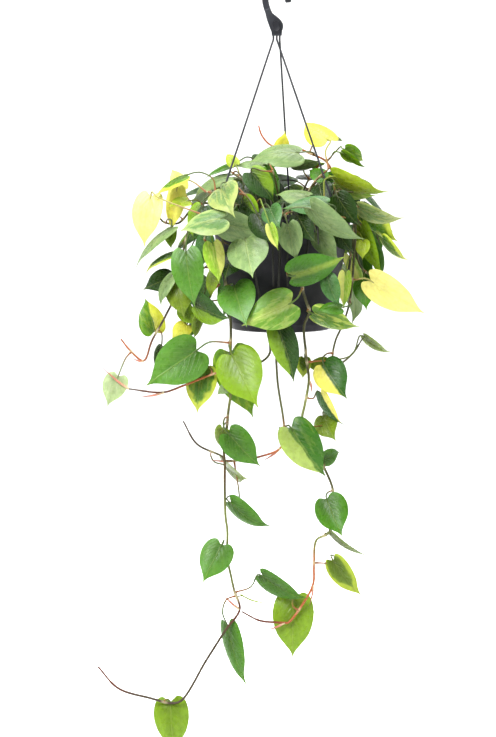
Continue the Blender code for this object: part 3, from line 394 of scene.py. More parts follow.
@dataclass(frozen=True)
class LeafFinish:
    """The waxy skin of a leaf blade, with its veins and variegation, painted shade round the notch and painted
    light towards the rim and tip.
    """

    side: BladeSide
    roughness: float
    vein_lift: float
    vein_pale: float
    # how dark the painted shade round the notch is, partly the leaf's own darker heart
    own_dark_heart_and_painted_shade: float
    vein_tint: Colour = srgb(210, 224, 120)
    side_veins: float = 8.5
    fine_veins: float = 34.0
    cloud_scale: float = 55.0
    streak_scale: tuple[float, float, float] = (2.2, 3.2, 37.0)
    pebble: float = 0.22
    wax: float = 0.4

    def variegation(self, graph: Graph, along: Socket, across: Socket, seed: Socket, rim: Socket) -> Socket:
        """Lays the pale edge, half, streaks and midrib band on a leaf's own colour; on a folded leaf the pale
        half is painted light on its lit side.

        Args:
            graph: The material's nodes.
            along: The place along the midrib.
            across: The place across the blade.
            seed: The leaf's own number.
            rim: How near the edge is.

        Returns:
            The leaf's colour, darker round the notch and lighter towards the rim and tip: painted shade and
            painted light, partly the leaf's own darker heart.
        """
        patch, marks = graph.painted("patch").outputs, graph.painted("marks").outputs
        shares = graph.node("ShaderNodeSeparateColor", {0: marks["Color"]}).outputs
        out = graph.math("ABSOLUTE", across)
        cloud = graph.math("SUBTRACT", graph.grain(self.cloud_scale, 3), 0.5)
        edge = graph.times(graph.eased(graph.plus(cloud, 0.7, rim), 0.70, 0.84), shares[0])
        hand = graph.plus(shares[1], 2, -1)
        side = graph.plus(cloud, 0.5, graph.times(across, hand))
        half = graph.times(graph.eased(side, 0.04, 0.16), graph.math("ABSOLUTE", hand))
        where = (graph.math("SUBTRACT", along, graph.times(out, 0.5)), across, seed)
        stretched = [graph.times(value, scale) for value, scale in zip(where, self.streak_scale)]
        bands = graph.grain(1.6, 3, graph.node("ShaderNodeCombineXYZ", enumerate(stretched)).outputs[0])
        streak = graph.times(graph.eased(bands, 0.49, 0.58), shares[2])
        rib = graph.times(graph.eased(graph.plus(cloud, 0.3, out), 0.08, 0.30, 1.0, 0.0), marks["Alpha"])
        ground = graph.painted("field").outputs["Color"]
        colour = graph.mix(graph.most(edge, half, streak, rib), ground, patch["Color"])
        # painted shade round the notch, easing into painted light towards the rim and tip; partly the leaf's
        # own darker heart
        heart = graph.plus(cloud, 0.5, graph.most(graph.times(along, 1.1), rim))
        deeper = graph.plus(patch["Alpha"], self.own_dark_heart_and_painted_shade - 1, 1)
        return graph.tinted(colour, graph.eased(heart, 0.15, 0.95, deeper, 1.14))

    def veins(self, graph: Graph, along: Socket, out: Socket, rim: Socket) -> Socket:
        """Draws the midrib, the side veins that sweep to the tip and the fine ones between them.

        Args:
            graph: The material's nodes.
            along: The place along the midrib.
            out: The distance from the midrib.
            rim: How near the edge is.

        Returns:
            The veins, 0 to 1.
        """
        sweep = graph.plus(out, graph.plus(out, -0.22, -0.40), along)
        numbers = (self.side_veins, self.fine_veins)
        side, fine = (graph.math("PINGPONG", graph.times(sweep, number), 0.5) for number in numbers)
        side = graph.times(graph.eased(side, 0.0, 0.12, 0.6, 0.0), graph.eased(rim, 0.55, 1.0, 1.0, 0.15))
        fine = graph.eased(fine, 0.0, 0.25, 0.14, 0.0)
        return graph.most(graph.eased(out, 0.012, 0.045, 1.0, 0.0), side, fine)

    def material(self) -> Material:
        """Makes the material.

        Returns:
            The material, which reads what is painted on each blade.
        """
        graph = Graph(self.side.value)
        place = graph.painted("place").outputs
        along, across, seed = graph.node("ShaderNodeSeparateXYZ", {0: place["Vector"]}).outputs
        colour = self.variegation(graph, along, across, seed, place["Alpha"])
        veins = self.veins(graph, along, graph.math("ABSOLUTE", across), place["Alpha"])
        pale = graph.mix(0.5, colour, self.vein_tint)
        colour = graph.mix(graph.times(veins, self.vein_pale), colour, pale)
        graph.set("Base Color", graph.tinted(colour, graph.eased(graph.grain(160, 4), 0.3, 0.7, 0.9, 1.08)))
        graph.roughen(graph.grain(240, 3), self.roughness - 0.07, self.roughness + 0.07)
        graph.set("Specular IOR Level", self.wax)
        pebbles = graph.times(graph.grain(900, 2), self.pebble)
        graph.relief(graph.plus(veins, self.vein_lift, pebbles), 0.0006, 0.75)
        return graph.material


@dataclass(frozen=True)
class StemFinish:
    """The skin of stems, stalks and sheaths: painted colour, fine pits and darker flecks."""

    name: str = "stem_skin"
    roughness: float = 0.46
    fleck: float = 0.55
    fleck_shade: Colour = srgb(120, 96, 70)

    def material(self) -> Material:
        """Makes the material.

        Returns:
            The material, which reads the colour painted on each stem.
        """
        graph = Graph(self.name)
        colour = graph.painted("field").outputs["Color"]
        flecks = graph.eased(graph.grain(900, 4, roughness=0.7), 0.52, 0.66)
        dark = graph.mix(1.0, colour, self.fleck_shade, "MULTIPLY")
        graph.set("Base Color", graph.mix(graph.times(flecks, self.fleck), colour, dark))
        graph.roughen(graph.grain(500, 2), self.roughness - 0.08, self.roughness + 0.08)
        graph.relief(graph.grain(1400, 3), 0.0003, 0.6)
        return graph.material


@dataclass(frozen=True)
class MouldedPlastic:
    """Injection-moulded plastic: a fine spark texture, flow clouds, dust and rubbed edges."""

    name: str
    colour: Colour
    rubbed: Colour
    roughness: float
    texture: float
    dust: Colour = srgb(110, 108, 112)
    gloss: float = 0.45

    def material(self) -> Material:
        """Makes the material.

        Returns:
            The plastic's material.
        """
        graph = Graph(self.name)
        clouds = graph.eased(graph.grain(22, 4), 0.35, 0.7)
        colour = graph.mix(graph.times(clouds, 0.35), self.colour, self.rubbed)
        edges = graph.eased(graph.node("ShaderNodeNewGeometry").outputs["Pointiness"], 0.52, 0.60)
        colour = graph.mix(graph.times(edges, 0.5), colour, self.rubbed)
        specks = graph.eased(graph.grain(340, 5, roughness=0.7), 0.58, 0.72)
        graph.set("Base Color", graph.mix(graph.times(specks, 0.12), colour, self.dust))
        graph.roughen(graph.grain(60, 4), self.roughness - 0.06, self.roughness + 0.1)
        graph.set("Specular IOR Level", self.gloss)
        graph.relief(graph.grain(2600, 2), 0.0002, self.texture)
        return graph.material


@dataclass(frozen=True)
class PeatMix:
    """Damp peat with bark crumbs and pale perlite grains."""

    name: str = "potting_mix"
    peat: Colour = srgb(38, 28, 20)
    bark: Colour = srgb(92, 68, 46)
    perlite: Colour = srgb(222, 218, 208)

    def material(self) -> Material:
        """Makes the material.

        Returns:
            The mix's material.
        """
        graph = Graph(self.name)
        crumbs = graph.grain(420, 6, roughness=0.7)
        colour = graph.mix(graph.eased(crumbs, 0.35, 0.7), self.peat, self.bark)
        here = graph.node("ShaderNodeTexCoord").outputs["Object"]
        cells = graph.node("ShaderNodeTexVoronoi", {"Vector": here, "Scale": 230}).outputs["Distance"]
        picked = graph.eased(graph.grain(150, 1), 0.60, 0.62)
        grains = graph.times(graph.eased(cells, 0.12, 0.2, 1.0, 0.0), picked)
        graph.set("Base Color", graph.mix(grains, colour, self.perlite))
        graph.roughen(crumbs, 0.8, 0.98)
        graph.relief(crumbs, 0.0022, 1.0)
        return graph.material


@dataclass(frozen=True)
class StudioPaint:
    """The matt white paint of the studio's floor and wall."""

    name: str = "studio_paint"
    colour: Colour = (0.86, 0.86, 0.86)
    roughness: float = 0.95
    gloss: float = 0.1

    def material(self) -> Material:
        """Makes the material.

        Returns:
            The paint.
        """
        graph = Graph(self.name)
        graph.set("Base Color", self.colour)
        graph.set("Roughness", self.roughness)
        graph.set("Specular IOR Level", self.gloss)
        return graph.material


# the blade's edge from the notch to the tip as (share along, share across), for full and for small leaves
OUTLINE = ((0.0, 0.0), (-0.11, 0.42), (0.01, 0.86), (0.26, 1.0), (0.56, 0.82), (0.82, 0.33), (1.0, 0.0))
SMALL_OUTLINE = ((0.0, 0.0), (-0.11, 0.42), (0.1, 0.93), (0.44, 0.9), (0.8, 0.37), (1.0, 0.0))
FULL_POSTS, SMALL_POSTS = 11, 9
CAD_BLADE = 0.8
CUP_POWER = 1.6


@dataclass
class Blade:
    """One leaf as the plain solid has it: where it lies, how it bends, and its stalk."""

    notch: Vector
    tip: Vector
    face: Vector
    width: float
    bow: float
    cup: float
    stalk: list[Vector]

    def surface(self, s: float, h: float) -> Vector:
        """A point of the blade's middle surface.

        Args:
            s: The share along the midrib.
            h: The share across, 1 at the widest.

        Returns:
            The point.
        """
        length = (self.tip - self.notch).length
        along = (self.tip - self.notch).normalized()
        half = self.width / 2
        rise = self.bow * length * 4 * s * (1 - s) + self.cup * half * abs(h) ** CUP_POWER
        return self.notch + along * (s * length) + along.cross(self.face) * (h * half) + self.face * rise


@dataclass
class StemForm:
    """One leafy stem as the plain solid has it."""

    name: str
    line: list[Vector]
    radius: float
    blades: list[Blade]


def fitted(shapes: list[tuple[float, float]], rises: list[float]) -> tuple[float, float]:
    """Fits how strong two shapes are together, by least squares.

    Args:
        shapes: What each shape alone would rise at each place.
        rises: What the surface rises there.

    Returns:
        The strength of each shape.
    """
    sums = [0.0] * 5
    for (a, b), rise in zip(shapes, rises):
        sums = [total + part for total, part in zip(sums, (a * a, a * b, b * b, a * rise, b * rise))]
    aa, ab, bb, a_rise, b_rise = sums
    scale = aa * bb - ab ** 2
    return (a_rise * bb - b_rise * ab) / scale, (b_rise * aa - a_rise * ab) / scale


class FoliageReader:
    """Finds the blades, stalks and stem line in a leafy stem's plain solid."""

    POST_SLACK = 0.004
    NECK_REACH = 1.2
    STALK_RADII = (0.97, 1.18)
    STALK_SLACK = 0.02
    STEM_RADII = (0.95, 2.3)
    RING_SLACK = 0.012
    RING_GAP = 3.5
    POT_INSIDE = 82.0
    FEET = (-300.0, -290.0)

    def __init__(self, obj: Piece) -> None:
        """Joins the solid's corners and notes which lie beside which.

        Args:
            obj: The loaded solid.
        """
        form = bmesh.new()
        form.from_mesh(obj.data)
        bmesh.ops.remove_doubles(form, verts=form.verts, dist=1e-5)
        form.verts.index_update()
        self.name = obj.name
        self.points = [vert.co / MM for vert in form.verts]
        self.beside: list[set[int]] = [set() for _ in self.points]
        self.posts: list[Post] = []
        for edge in form.edges:
            a, b = edge.verts[0].index, edge.verts[1].index
            self.beside[a].add(b)
            self.beside[b].add(a)
            if abs(edge.calc_length() / MM - CAD_BLADE) < self.POST_SLACK:
                self.posts.append((a, b))
        form.free()

    def chains(self) -> list[list[Post]]:
        """Follows the blade edges' posts round each leaf.

        Returns:
            For each leaf its posts in order, each as (one face's corner, the other's).
        """
        links: dict[Post, list[tuple[Post, bool]]] = {post: [] for post in self.posts}
        for i, (a, b) in enumerate(self.posts):
            for c, d in self.posts[i + 1:]:
                same = c in self.beside[a] and d in self.beside[b]
                if same or (d in self.beside[a] and c in self.beside[b]):
                    links[a, b].append(((c, d), same))
                    links[c, d].append(((a, b), same))
        found = []
        used: set[Post] = set()
        for start in self.posts:
            if start in used or len(links[start]) != 1:
                continue
            chain, post, flipped = [start], start, False
            used.add(start)
            while onward := [link for link in links[post] if link[0] not in used]:
                post, same = onward[0]
                flipped = flipped != (not same)
                used.add(post)
                chain.append((post[1], post[0]) if flipped else post)
            if len(chain) in (SMALL_POSTS, FULL_POSTS):
                found.append(chain)
        return found

    def blade(self, chain: list[Post]) -> tuple[Blade, set[int]] | None:
        """Reads one leaf from the posts round its edge.

        Args:
            chain: The posts in order.

        Returns:
            The leaf, and the corners that belong to it, or None where its notch isn't found.
        """
        corners = {corner for post in chain for corner in post}
        far = {corner for post in chain[2:-2] for corner in post}
        notch_corner, upper = -1, 0
        for side in (0, 1):
            shared = (self.beside[chain[0][side]] & self.beside[chain[-1][side]]) - corners
            shared = {c for c in shared if not self.beside[c] & far}
            if len(shared) == 1:
                notch_corner, upper = shared.pop(), 1 - side
        if notch_corner < 0:
            return None
        middle = [(self.points[a] + self.points[b]) / 2 for a, b in chain]
        face = (self.points[chain[0][upper]] - self.points[chain[0][1 - upper]]).normalized()
        notch = self.points[notch_corner] + face * (CAD_BLADE / 2)
        tip = middle[len(chain) // 2]
        outline, wide = (OUTLINE, 2) if len(chain) == FULL_POSTS else (SMALL_OUTLINE, 1)
        width = (middle[wide] - middle[-1 - wide]).length / outline[wide + 1][1]
        length = (tip - notch).length
        places = [*outline[1:], *((s, -h) for s, h in reversed(outline[1:-1]))]
        shapes = [(length * 4 * s * (1 - s), width / 2 * abs(h) ** CUP_POWER) for s, h in places]
        bow, cup = fitted(shapes, [(point - notch).dot(face) for point in middle])
        near = self.beside[notch_corner] - corners
        ring = {notch_corner} | {c for c in near if (self.points[c] - notch).length < self.NECK_REACH}
        ribs = {b for c in ring for b in self.beside[c] - ring - corners if self.beside[b] & corners}
        corners |= ring | ribs
        stalk = [notch]
        for _ in range(6):
            ring = {b for c in ring for b in self.beside[c] if b not in corners}
            if len(ring) != 3:
                break
            centre = sum((self.points[c] for c in ring), Vector()) / 3
            radii = [(self.points[c] - centre).length for c in ring]
            if max(radii) - min(radii) > self.STALK_SLACK or not self.within(radii[0], self.STALK_RADII):
                break
            stalk.append(centre)
            corners |= ring
        return Blade(notch, tip, face, width, bow, cup, stalk), corners

    def stem_line(self, taken: set[int]) -> tuple[list[Vector], float]:
        """Finds the middles of the stem's square rings and puts them in order from the foot.

        Args:
            taken: The corners that belong to leaves and stalks.

        Returns:
            The stem's points from the foot, and its radius there.
        """
        free = [i for i in range(len(self.points)) if i not in taken]
        planted = [i for i in free if self.planted(self.points[i])]
        lowest = min(self.points[i].z for i in planted)
        edge = [i for i in planted if self.points[i].z < lowest + 0.01]
        walked = {i: 0.0 for i in edge}
        inside = set(free)
        while edge:
            edge.sort(key=lambda i: -walked[i])
            at = edge.pop()
            for other in self.beside[at]:
                length = walked[at] + (self.points[other] - self.points[at]).length
                if other in inside and length < walked.get(other, math.inf) - 1e-6:
                    walked[other] = length
                    edge.append(other)
        rings: list[tuple[float, Vector, float]] = []
        for position, i in enumerate(free):
            for j in free[position + 1:]:
                apart = self.points[j] - self.points[i]
                radius = apart.length / 2
                centre = (self.points[i] + self.points[j]) / 2
                known = any((centre - other).length < 0.1 for _, other, _ in rings)
                if known or not self.within(radius, self.STEM_RADII):
                    continue
                spokes = [self.points[k] - centre for k in free if k not in (i, j)]
                level = [spoke for spoke in spokes if abs(spoke.dot(apart)) <= 0.03 * radius]
                if any(abs(spoke.length - radius) <= self.RING_SLACK for spoke in level):
                    rings.append(((walked.get(i, math.inf) + walked.get(j, math.inf)) / 2, centre, radius))
        rings = sorted((ring for ring in rings if ring[0] < math.inf), key=lambda ring: ring[0])
        line = [rings[0][1]]
        for _, centre, _ in rings[1:]:
            if (centre - line[-1]).length > self.RING_GAP:
                line.append(centre)
        return line, rings[0][2]

    def within(self, value: float, limits: tuple[float, float]) -> bool:
        """Whether a value lies between two limits."""
        return limits[0] < value < limits[1]

    def planted(self, point: Vector) -> bool:
        """Whether a point lies inside the pot, at the height where the stems stand."""
        return math.hypot(point.x - POT_AXIS_X, point.y) < self.POT_INSIDE and self.within(point.z, self.FEET)

    def read(self) -> StemForm:
        """Reads the whole stem.

        Returns:
            The stem's line, radius and leaves.
        """
        found = [leaf for leaf in map(self.blade, self.chains()) if leaf]
        line, radius = self.stem_line({corner for _, corners in found for corner in corners})
        return StemForm(self.name, line, radius, [blade for blade, _ in found])


@dataclass
class Pot:
    """The turned nursery pot: a thin tapered wall, a rolled flange, drain holes and three strand holes."""

    plastic: Material
    rim_radius: float = 83.0
    base_radius: float = 59.0
    base_z: float = -402.0
    wall: float = 1.3
    floor: float = 2.0
    flange_radius: float = 89.6
    flange: float = 1.6
    lip_depth: float = 5.4
    lip: float = 1.2
    sides: int = 120
    drain_holes: int = 6
    drain_radius: float = 4.0
    drain_circle: float = 38.0
    strand_hole: float = 1.5

    def profile(self) -> list[tuple[float, float]]:
        """The wall's section from the middle of the floor outside, round the rim, to the floor inside.

        Returns:
            The section as (radius, height).
        """
        foot, base, fold, top = self.base_radius, self.base_z, RIM_Z, RIM_Z + self.flange
        outer, inner = self.flange_radius, self.rim_radius - self.wall
        low = top - self.lip_depth

        def wall(height: float) -> float:
            """The outer wall's radius at a height."""
            return foot + 0.4 + (self.rim_radius - foot - 0.4) * (height - base - 2.0) / (fold - base - 2.0)

        bead = ((-1.6, 0.0), (-0.7, 0.35), (0.7, 0.35), (1.6, 0.0))
        ridges = [(wall(z + rise) + out, z + rise) for z in (base + 9.0, fold - 27.0) for rise, out in bead]
        return [
            (0.4, base + 1.0), (24.0, base + 1.0), (25.4, base + 0.3), (foot - 9.0, base + 0.3),
            (foot - 7.8, base), (foot - 2.0, base), (foot - 0.4, base + 0.7), (foot + 0.4, base + 2.0), *ridges,
            (wall(fold - 1.0), fold - 1.0), (wall(fold) + 0.5, fold), (outer - self.lip - 0.6, fold),
            (outer - self.lip, fold - 0.6), (outer - self.lip, low + 0.3), (outer - self.lip * 0.5, low),
            (outer, low + 0.4), (outer, top - 0.9), (outer - 0.35, top - 0.35), (outer - 1.0, top),
            (inner + 0.9, top), (inner + 0.3, top - 0.3), (inner, top - 1.0),
            (foot - self.wall + 1.4, base + 6.0), (foot - 2.4, base + self.floor + 0.7),
            (foot - 4.4, base + self.floor), (0.4, base + self.floor),
        ]

    def build(self) -> list[Piece]:
        """Makes the pot and lays it over the plain one.

        Returns:
            The pieces made.
        """
        rings = [circle(radius, height, self.sides) for radius, height in self.profile()]
        pot = mesh_piece("nursery_pot", loft(rings), self.plastic)
        drains = circle(self.drain_circle, 0.0, self.drain_holes)
        cuts = [pin(at, self.base_z - 3, self.base_z + 6, self.drain_radius, 24) for at in drains]
        holes = [around(STRAND_CIRCLE, math.radians(degrees), 0.0) for _, degrees in STRANDS.values()]
        cuts += [pin(at, RIM_Z - 4, RIM_Z + 4, self.strand_hole, 16) for at in holes]
        combine(pot, [mesh_piece("hole", cut, self.plastic) for cut in cuts], "DIFFERENCE")
        keep_edges_sharp(pot, 38)
        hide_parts("pot")
        return [pot]


@dataclass
class PottingMix:
    """The loose mix that fills the pot, lumpy on top."""

    peat: Material
    top_z: float = -282.3
    bottom_z: float = -399.6
    top_radius: float = 79.0
    bottom_radius: float = 56.6
    rings: int = 30
    sides: int = 96
    lump: float = 1.05
    sunk_edge: float = 0.6
    seed: int = 5

    def lumped(self, at: Vector, share: float) -> Vector:
        """A place of the surface, raised or sunk by the mix's lumps.

        Args:
            at: The place, at any height.
            share: Its share of the way out to the wall, where the lumps die away.

        Returns:
            The place at its height.
        """
        grain = Vector((at.x, at.y, self.seed * 10.0))
        rough = noise.fractal(grain * 0.09, 1.0, 2.0, 3) + 0.5 * noise.noise(grain * 0.4)
        ease = 1.0 - smooth(share, 0.9, 1.0)
        return Vector((at.x, at.y, self.top_z + self.lump * rough * ease - self.sunk_edge * (1 - ease)))

    def build(self) -> list[Piece]:
        """Makes the mix and lays it over the plain one.

        Returns:
            The pieces made.
        """
        rings = []
        for step in range(1, self.rings + 1):
            share = step / self.rings
            rings.append([self.lumped(at, share) for at in circle(self.top_radius * share, 0.0, self.sides)])
        rings.append(circle(self.bottom_radius, self.bottom_z, self.sides))
        middle = self.lumped(around(0.0, 0.0, 0.0), 0.0)
        soil = mesh_piece("potting_mix", loft(rings, middle), self.peat)
        keep_edges_sharp(soil, 60)
        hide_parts("soil")
        return [soil]


@dataclass
class Hanger:
    """The moulded hook with its drop-shaped boss and collar, and the three strands under it."""

    plastic: Material
    inner_radius: float = 9.6
    width: float = 7.6
    thickness: float = 6.0
    bead: float = 1.0
    sunk: float = 0.55
    boss_thickness: float = 7.0
    recess: float = 1.1
    recess_centre: tuple[float, float] = (0.2, -43.0)
    recess_size: tuple[float, float] = (3.9, 6.0)
    collar_bottom: float = -54.8
    socket_radius: float = 1.5
    socket_depth: float = 5.0
    strand_radius: float = 1.2
    knob_radius: float = 1.9

    def hook_line(self) -> list[Vector]:
        """The hook's middle line from its tip over the saddle to the boss.

        Returns:
            The points of the line.
        """
        radius = self.inner_radius + self.width / 2
        centre = -self.inner_radius
        turns = [math.pi * step / 24 for step in range(25)]
        line = [(radius + 0.6, centre - 6.5), (radius + 0.2, centre - 3.0)]
        line += [(radius * math.cos(turn), centre + radius * math.sin(turn)) for turn in turns]
        line += [(-radius + 0.6, centre - 7.0), (-10.6, -24.5), (-7.4, -31.5), (-3.8, -37.5)]
        return curve_through(upright(line), 1.6)

    def bar(self) -> Skin:
        """The bent bar: a rectangle with rounded corners, its two broad faces sunk between beads.

        Returns:
            The points and faces of the bar.
        """
        wide, deep = self.width / 2, self.thickness / 2
        inner, bed = wide - self.bead, deep - self.sunk
        quarter = [
            (wide, 0.0), (wide, deep - 1.0), (wide - 0.3, deep - 0.3), (wide - 0.8, deep), (inner + 0.15, deep),
            (inner - 0.1, bed), (0.0, bed),
        ]
        half = quarter + [(-w, t) for w, t in reversed(quarter[:-1])]
        section = half + [(w, -t) for w, t in reversed(half[1:-1])]
        line = self.hook_line()
        rings = []
        for i, at in enumerate(line):
            along = heading(line, i)
            across = Vector((-along.z, 0.0, along.x))
            size = 0.8 if i == 0 else 1.0
            rings.append([at + across * (w * size) + Vector((0.0, t * size, 0.0)) for w, t in section])
        return loft(rings)

    def boss_edge(self) -> list[Vector]:
        """The drop's edge: down the bar's left flank, round the boss and back up to the bar.

        Returns:
            The points of the edge.
        """
        left = ((-14.0, -24.8), (-11.8, -34.4), (-9.2, -42.1), (-6.7, -48.6), (-4.6, -52.6))
        right = (
            (5.0, -51.4), (7.0, -48.4), (8.0, -44.8), (7.5, -40.6), (4.9, -36.4), (0.4, -32.4), (-4.4, -28.6),
            (-6.9, -25.2), (-7.8, -22.4),
        )
        return curve_through(upright(left), 1.2) + curve_through(upright(right), 1.2)

    def oval(self) -> list[Vector]:
        """The edge of the sunk oval on each face of the boss."""
        (x, z), (wide, tall) = self.recess_centre, self.recess_size
        turns = [ROUND * step / 40 for step in range(40)]
        return upright([(x + wide * math.cos(turn), z + tall * math.sin(turn)) for turn in turns])

    def slab(self, edge: list[Vector], levels: list[tuple[float, float]]) -> Skin:
        """A rounded slab standing in the hook's plane.

        Args:
            edge: Its outline.
            levels: Its section through the thickness as (inset, y).

        Returns:
            The points and faces of the slab.
        """
        after = edge[1:] + edge[:1]
        hand = 1.0 if sum(a.x * b.z - b.x * a.z for a, b in zip(edge, after)) > 0 else -1.0
        runs = [(b - edge[i - 1]).normalized() for i, b in enumerate(after)]
        inward = [Vector((-run.z, 0.0, run.x)) * hand for run in runs]
        return loft([
            [at + side * inset + Vector((0.0, y, 0.0)) for at, side in zip(edge, inward)]
            for inset, y in levels
        ])

    def hook(self) -> Piece:
        """Makes the moulded hook, its boss and collar in one piece.

        Returns:
            The hook.
        """
        hook = mesh_piece("moulded_hook", self.bar(), self.plastic)
        deep = self.boss_thickness / 2
        levels = [(0.8, -deep), (0.25, 0.25 - deep), (0.0, 0.8 - deep)]
        levels += [(inset, -y) for inset, y in reversed(levels)]
        boss = mesh_piece("boss", self.slab(self.boss_edge(), levels), self.plastic)
        low, near = self.collar_bottom, deep - 0.2
        rows = ((-47.5, 6.0, 6.7, near), (low + 0.5, 5.7, 6.4, near), (low, 5.2, 5.9, near - 0.5))
        collar = loft([
            [Vector(corner) for corner in ((-left, -y, z), (right, -y, z), (right, y, z), (-left, y, z))]
            for z, left, right, y in rows
        ])
        combine(hook, [boss, mesh_piece("collar", collar, self.plastic)], "UNION")
        cuts = []
        for side in (-1, 1):
            bed = deep - self.recess
            sunk = ((1.0, bed), (0.4, bed + 0.25), (0.0, bed + 0.8), (-0.5, deep + 1.0))
            cuts.append(self.slab(self.oval(), [(inset, side * y) for inset, y in sunk]))
        for (x, y), _ in STRANDS.values():
            cuts.append(pin(Vector((x, y, 0.0)), low - 4.0, low + self.socket_depth, self.socket_radius, 16))
        combine(hook, [mesh_piece("cut", cut, self.plastic) for cut in cuts], "DIFFERENCE")
        keep_edges_sharp(hook, 42)
        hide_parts("hanger_hook")
        return hook

    def strand(self, name: str) -> Piece:
        """Makes one strand from its socket to the snap head under the rim.

        Args:
            name: Which strand.

        Returns:
            The strand.
        """
        (x, y), degrees = STRANDS[name]
        up = Vector((0.0, 0.0, 1.0))
        head, foot = Vector((x, y, self.collar_bottom)), around(STRAND_CIRCLE, math.radians(degrees), RIM_Z)
        bend, above = head - up * 4.4, foot + up * 8.0
        line = [head + up * (self.socket_depth - 0.4), head - up * 1.9]
        line += [bend.lerp(above, share) for share in (0.0, 0.03, 0.1, 0.3, 0.5, 0.7, 0.9, 0.97)]
        line += [foot + up * height for height in (7.5, 4.0, -2.4)]
        fine = curve_through(line, 6.0)
        strand = mesh_piece(f"strand_{name}", tube(fine, [self.strand_radius] * len(fine), 12), self.plastic)
        knob = [foot + up * height for height in (-3.0, -2.8, -2.2, -0.9, -0.5, -0.4)]
        radii = [0.9, 1.5, self.knob_radius, self.knob_radius, 1.7, 1.3]
        combine(strand, [mesh_piece("knob", tube(knob, radii, 20), self.plastic)], "UNION")
        keep_edges_sharp(strand, 50)
        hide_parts(f"hanger_strand_{name}")
        return strand

    def build(self) -> list[Piece]:
        """Makes the hook and its strands."""
        return [self.hook()] + [self.strand(name) for name in STRANDS]


@dataclass(frozen=True)
class ToneRecipe:
    """A leaf's own colour and its pale one, and how much of each kind of variegation it bears.

    The shares are for its pale edge, its pale half (below 0 on the other side), its streaks and the pale band
    along its midrib. The heart is how much of the painted shade round the notch it takes, partly the leaf's own
    darker heart.
    """

    ground: Colour
    patch: Colour
    edge: float = 0.0
    half: float = 0.0
    streak: float = 0.0
    rib: float = 0.0
    heart: float = 1.0


class LeafTone(Enum):
    """How a leaf is coloured, as read off the plant."""

    CREAM = ToneRecipe(srgb(250, 241, 138), srgb(232, 228, 104), streak=0.25, heart=0.1)
    BUTTER = ToneRecipe(srgb(246, 238, 118), srgb(220, 224, 84), streak=0.3, edge=0.3, heart=0.1)
    YELLOW = ToneRecipe(srgb(228, 224, 74), srgb(200, 212, 58), streak=0.3, heart=0.15)
    LIMEEDGE = ToneRecipe(srgb(84, 134, 38), srgb(206, 218, 74), edge=0.9, streak=0.2)
    LIME = ToneRecipe(srgb(168, 194, 42), srgb(212, 220, 82), streak=0.3, heart=0.3)
    LIMEPALE = ToneRecipe(srgb(168, 204, 90), srgb(230, 238, 152), streak=0.6, heart=0.5)
    LIMEGREEN = ToneRecipe(srgb(104, 154, 26), srgb(184, 206, 62), streak=0.4)
    LIMEYELLOW = ToneRecipe(srgb(150, 194, 52), srgb(242, 242, 130), half=0.8, streak=0.3, heart=0.3)
    # pale ground: painted reflection of the top light on leaves that face up
    TOP_PAINTED_REFLECTION = ToneRecipe(srgb(166, 188, 130), srgb(204, 214, 158), streak=0.25, heart=0.6)
    # pale ground: painted reflection on leaves that face up, also given to leaves that lie in shade to lighten
    # them
    PALE_PAINTED_REFLECTION = ToneRecipe(srgb(124, 152, 94), srgb(180, 198, 124), streak=0.2, heart=0.7)
    # pale ground: painted reflection; its yellow edge and streaks are the leaf's own variegation
    YELLOW_STREAKED_PAINTED_REFLECTION = ToneRecipe(srgb(126, 158, 90), srgb(222, 224, 126), edge=0.4, streak=0.35, heart=0.5)
    BLUEGREEN = ToneRecipe(srgb(66, 114, 54), srgb(118, 160, 86), streak=0.15)
    GREEN = ToneRecipe(srgb(68, 124, 20), srgb(112, 162, 40), streak=0.12)
    BRIGHTRIB = ToneRecipe(srgb(108, 156, 50), srgb(216, 226, 124), rib=0.45, streak=0.3, heart=0.7)
    SHEEN = ToneRecipe(srgb(86, 142, 44), srgb(150, 188, 84), streak=0.1, heart=0.8)
    # pale half: painted light on the lit half of a leaf folded along its midrib
    FOLDED_PAINTED_LIT_HALF = ToneRecipe(srgb(56, 112, 20), srgb(176, 200, 98), half=-0.95, streak=0.15, heart=0.6)
    STREAKED = ToneRecipe(srgb(96, 144, 42), srgb(196, 212, 92), streak=0.75, edge=0.2, heart=0.7)
    MOSS = ToneRecipe(srgb(126, 164, 28), srgb(162, 192, 58), streak=0.12, heart=0.8)
    GREENRIB = ToneRecipe(srgb(68, 122, 28), srgb(180, 202, 78), rib=0.45)
    GLOSSGREEN = ToneRecipe(srgb(54, 108, 22), srgb(140, 180, 80), edge=0.2)
    # pale ground: partly painted sheen, partly the leaf's own green; its yellow edge and streaks are the leaf's
    # own variegation
    YELLOW_EDGED_PAINTED_SHEEN = ToneRecipe(srgb(110, 150, 84), srgb(214, 224, 140), edge=0.4, streak=0.3, heart=0.6)
    HALFYELLOW = ToneRecipe(srgb(84, 132, 20), srgb(214, 216, 70), half=0.95, streak=0.15)
    DARK = ToneRecipe(srgb(30, 60, 10), srgb(56, 92, 22), streak=0.1)
    DARKLIME = ToneRecipe(srgb(38, 78, 14), srgb(146, 188, 40), half=0.7)
    DARKYELLOW = ToneRecipe(srgb(48, 96, 30), srgb(240, 232, 104), half=0.95, heart=0.5)
    OLIVE = ToneRecipe(srgb(108, 134, 28), srgb(154, 174, 58), streak=0.2)
    OLIVELIME = ToneRecipe(srgb(102, 132, 28), srgb(180, 198, 56), edge=0.7)


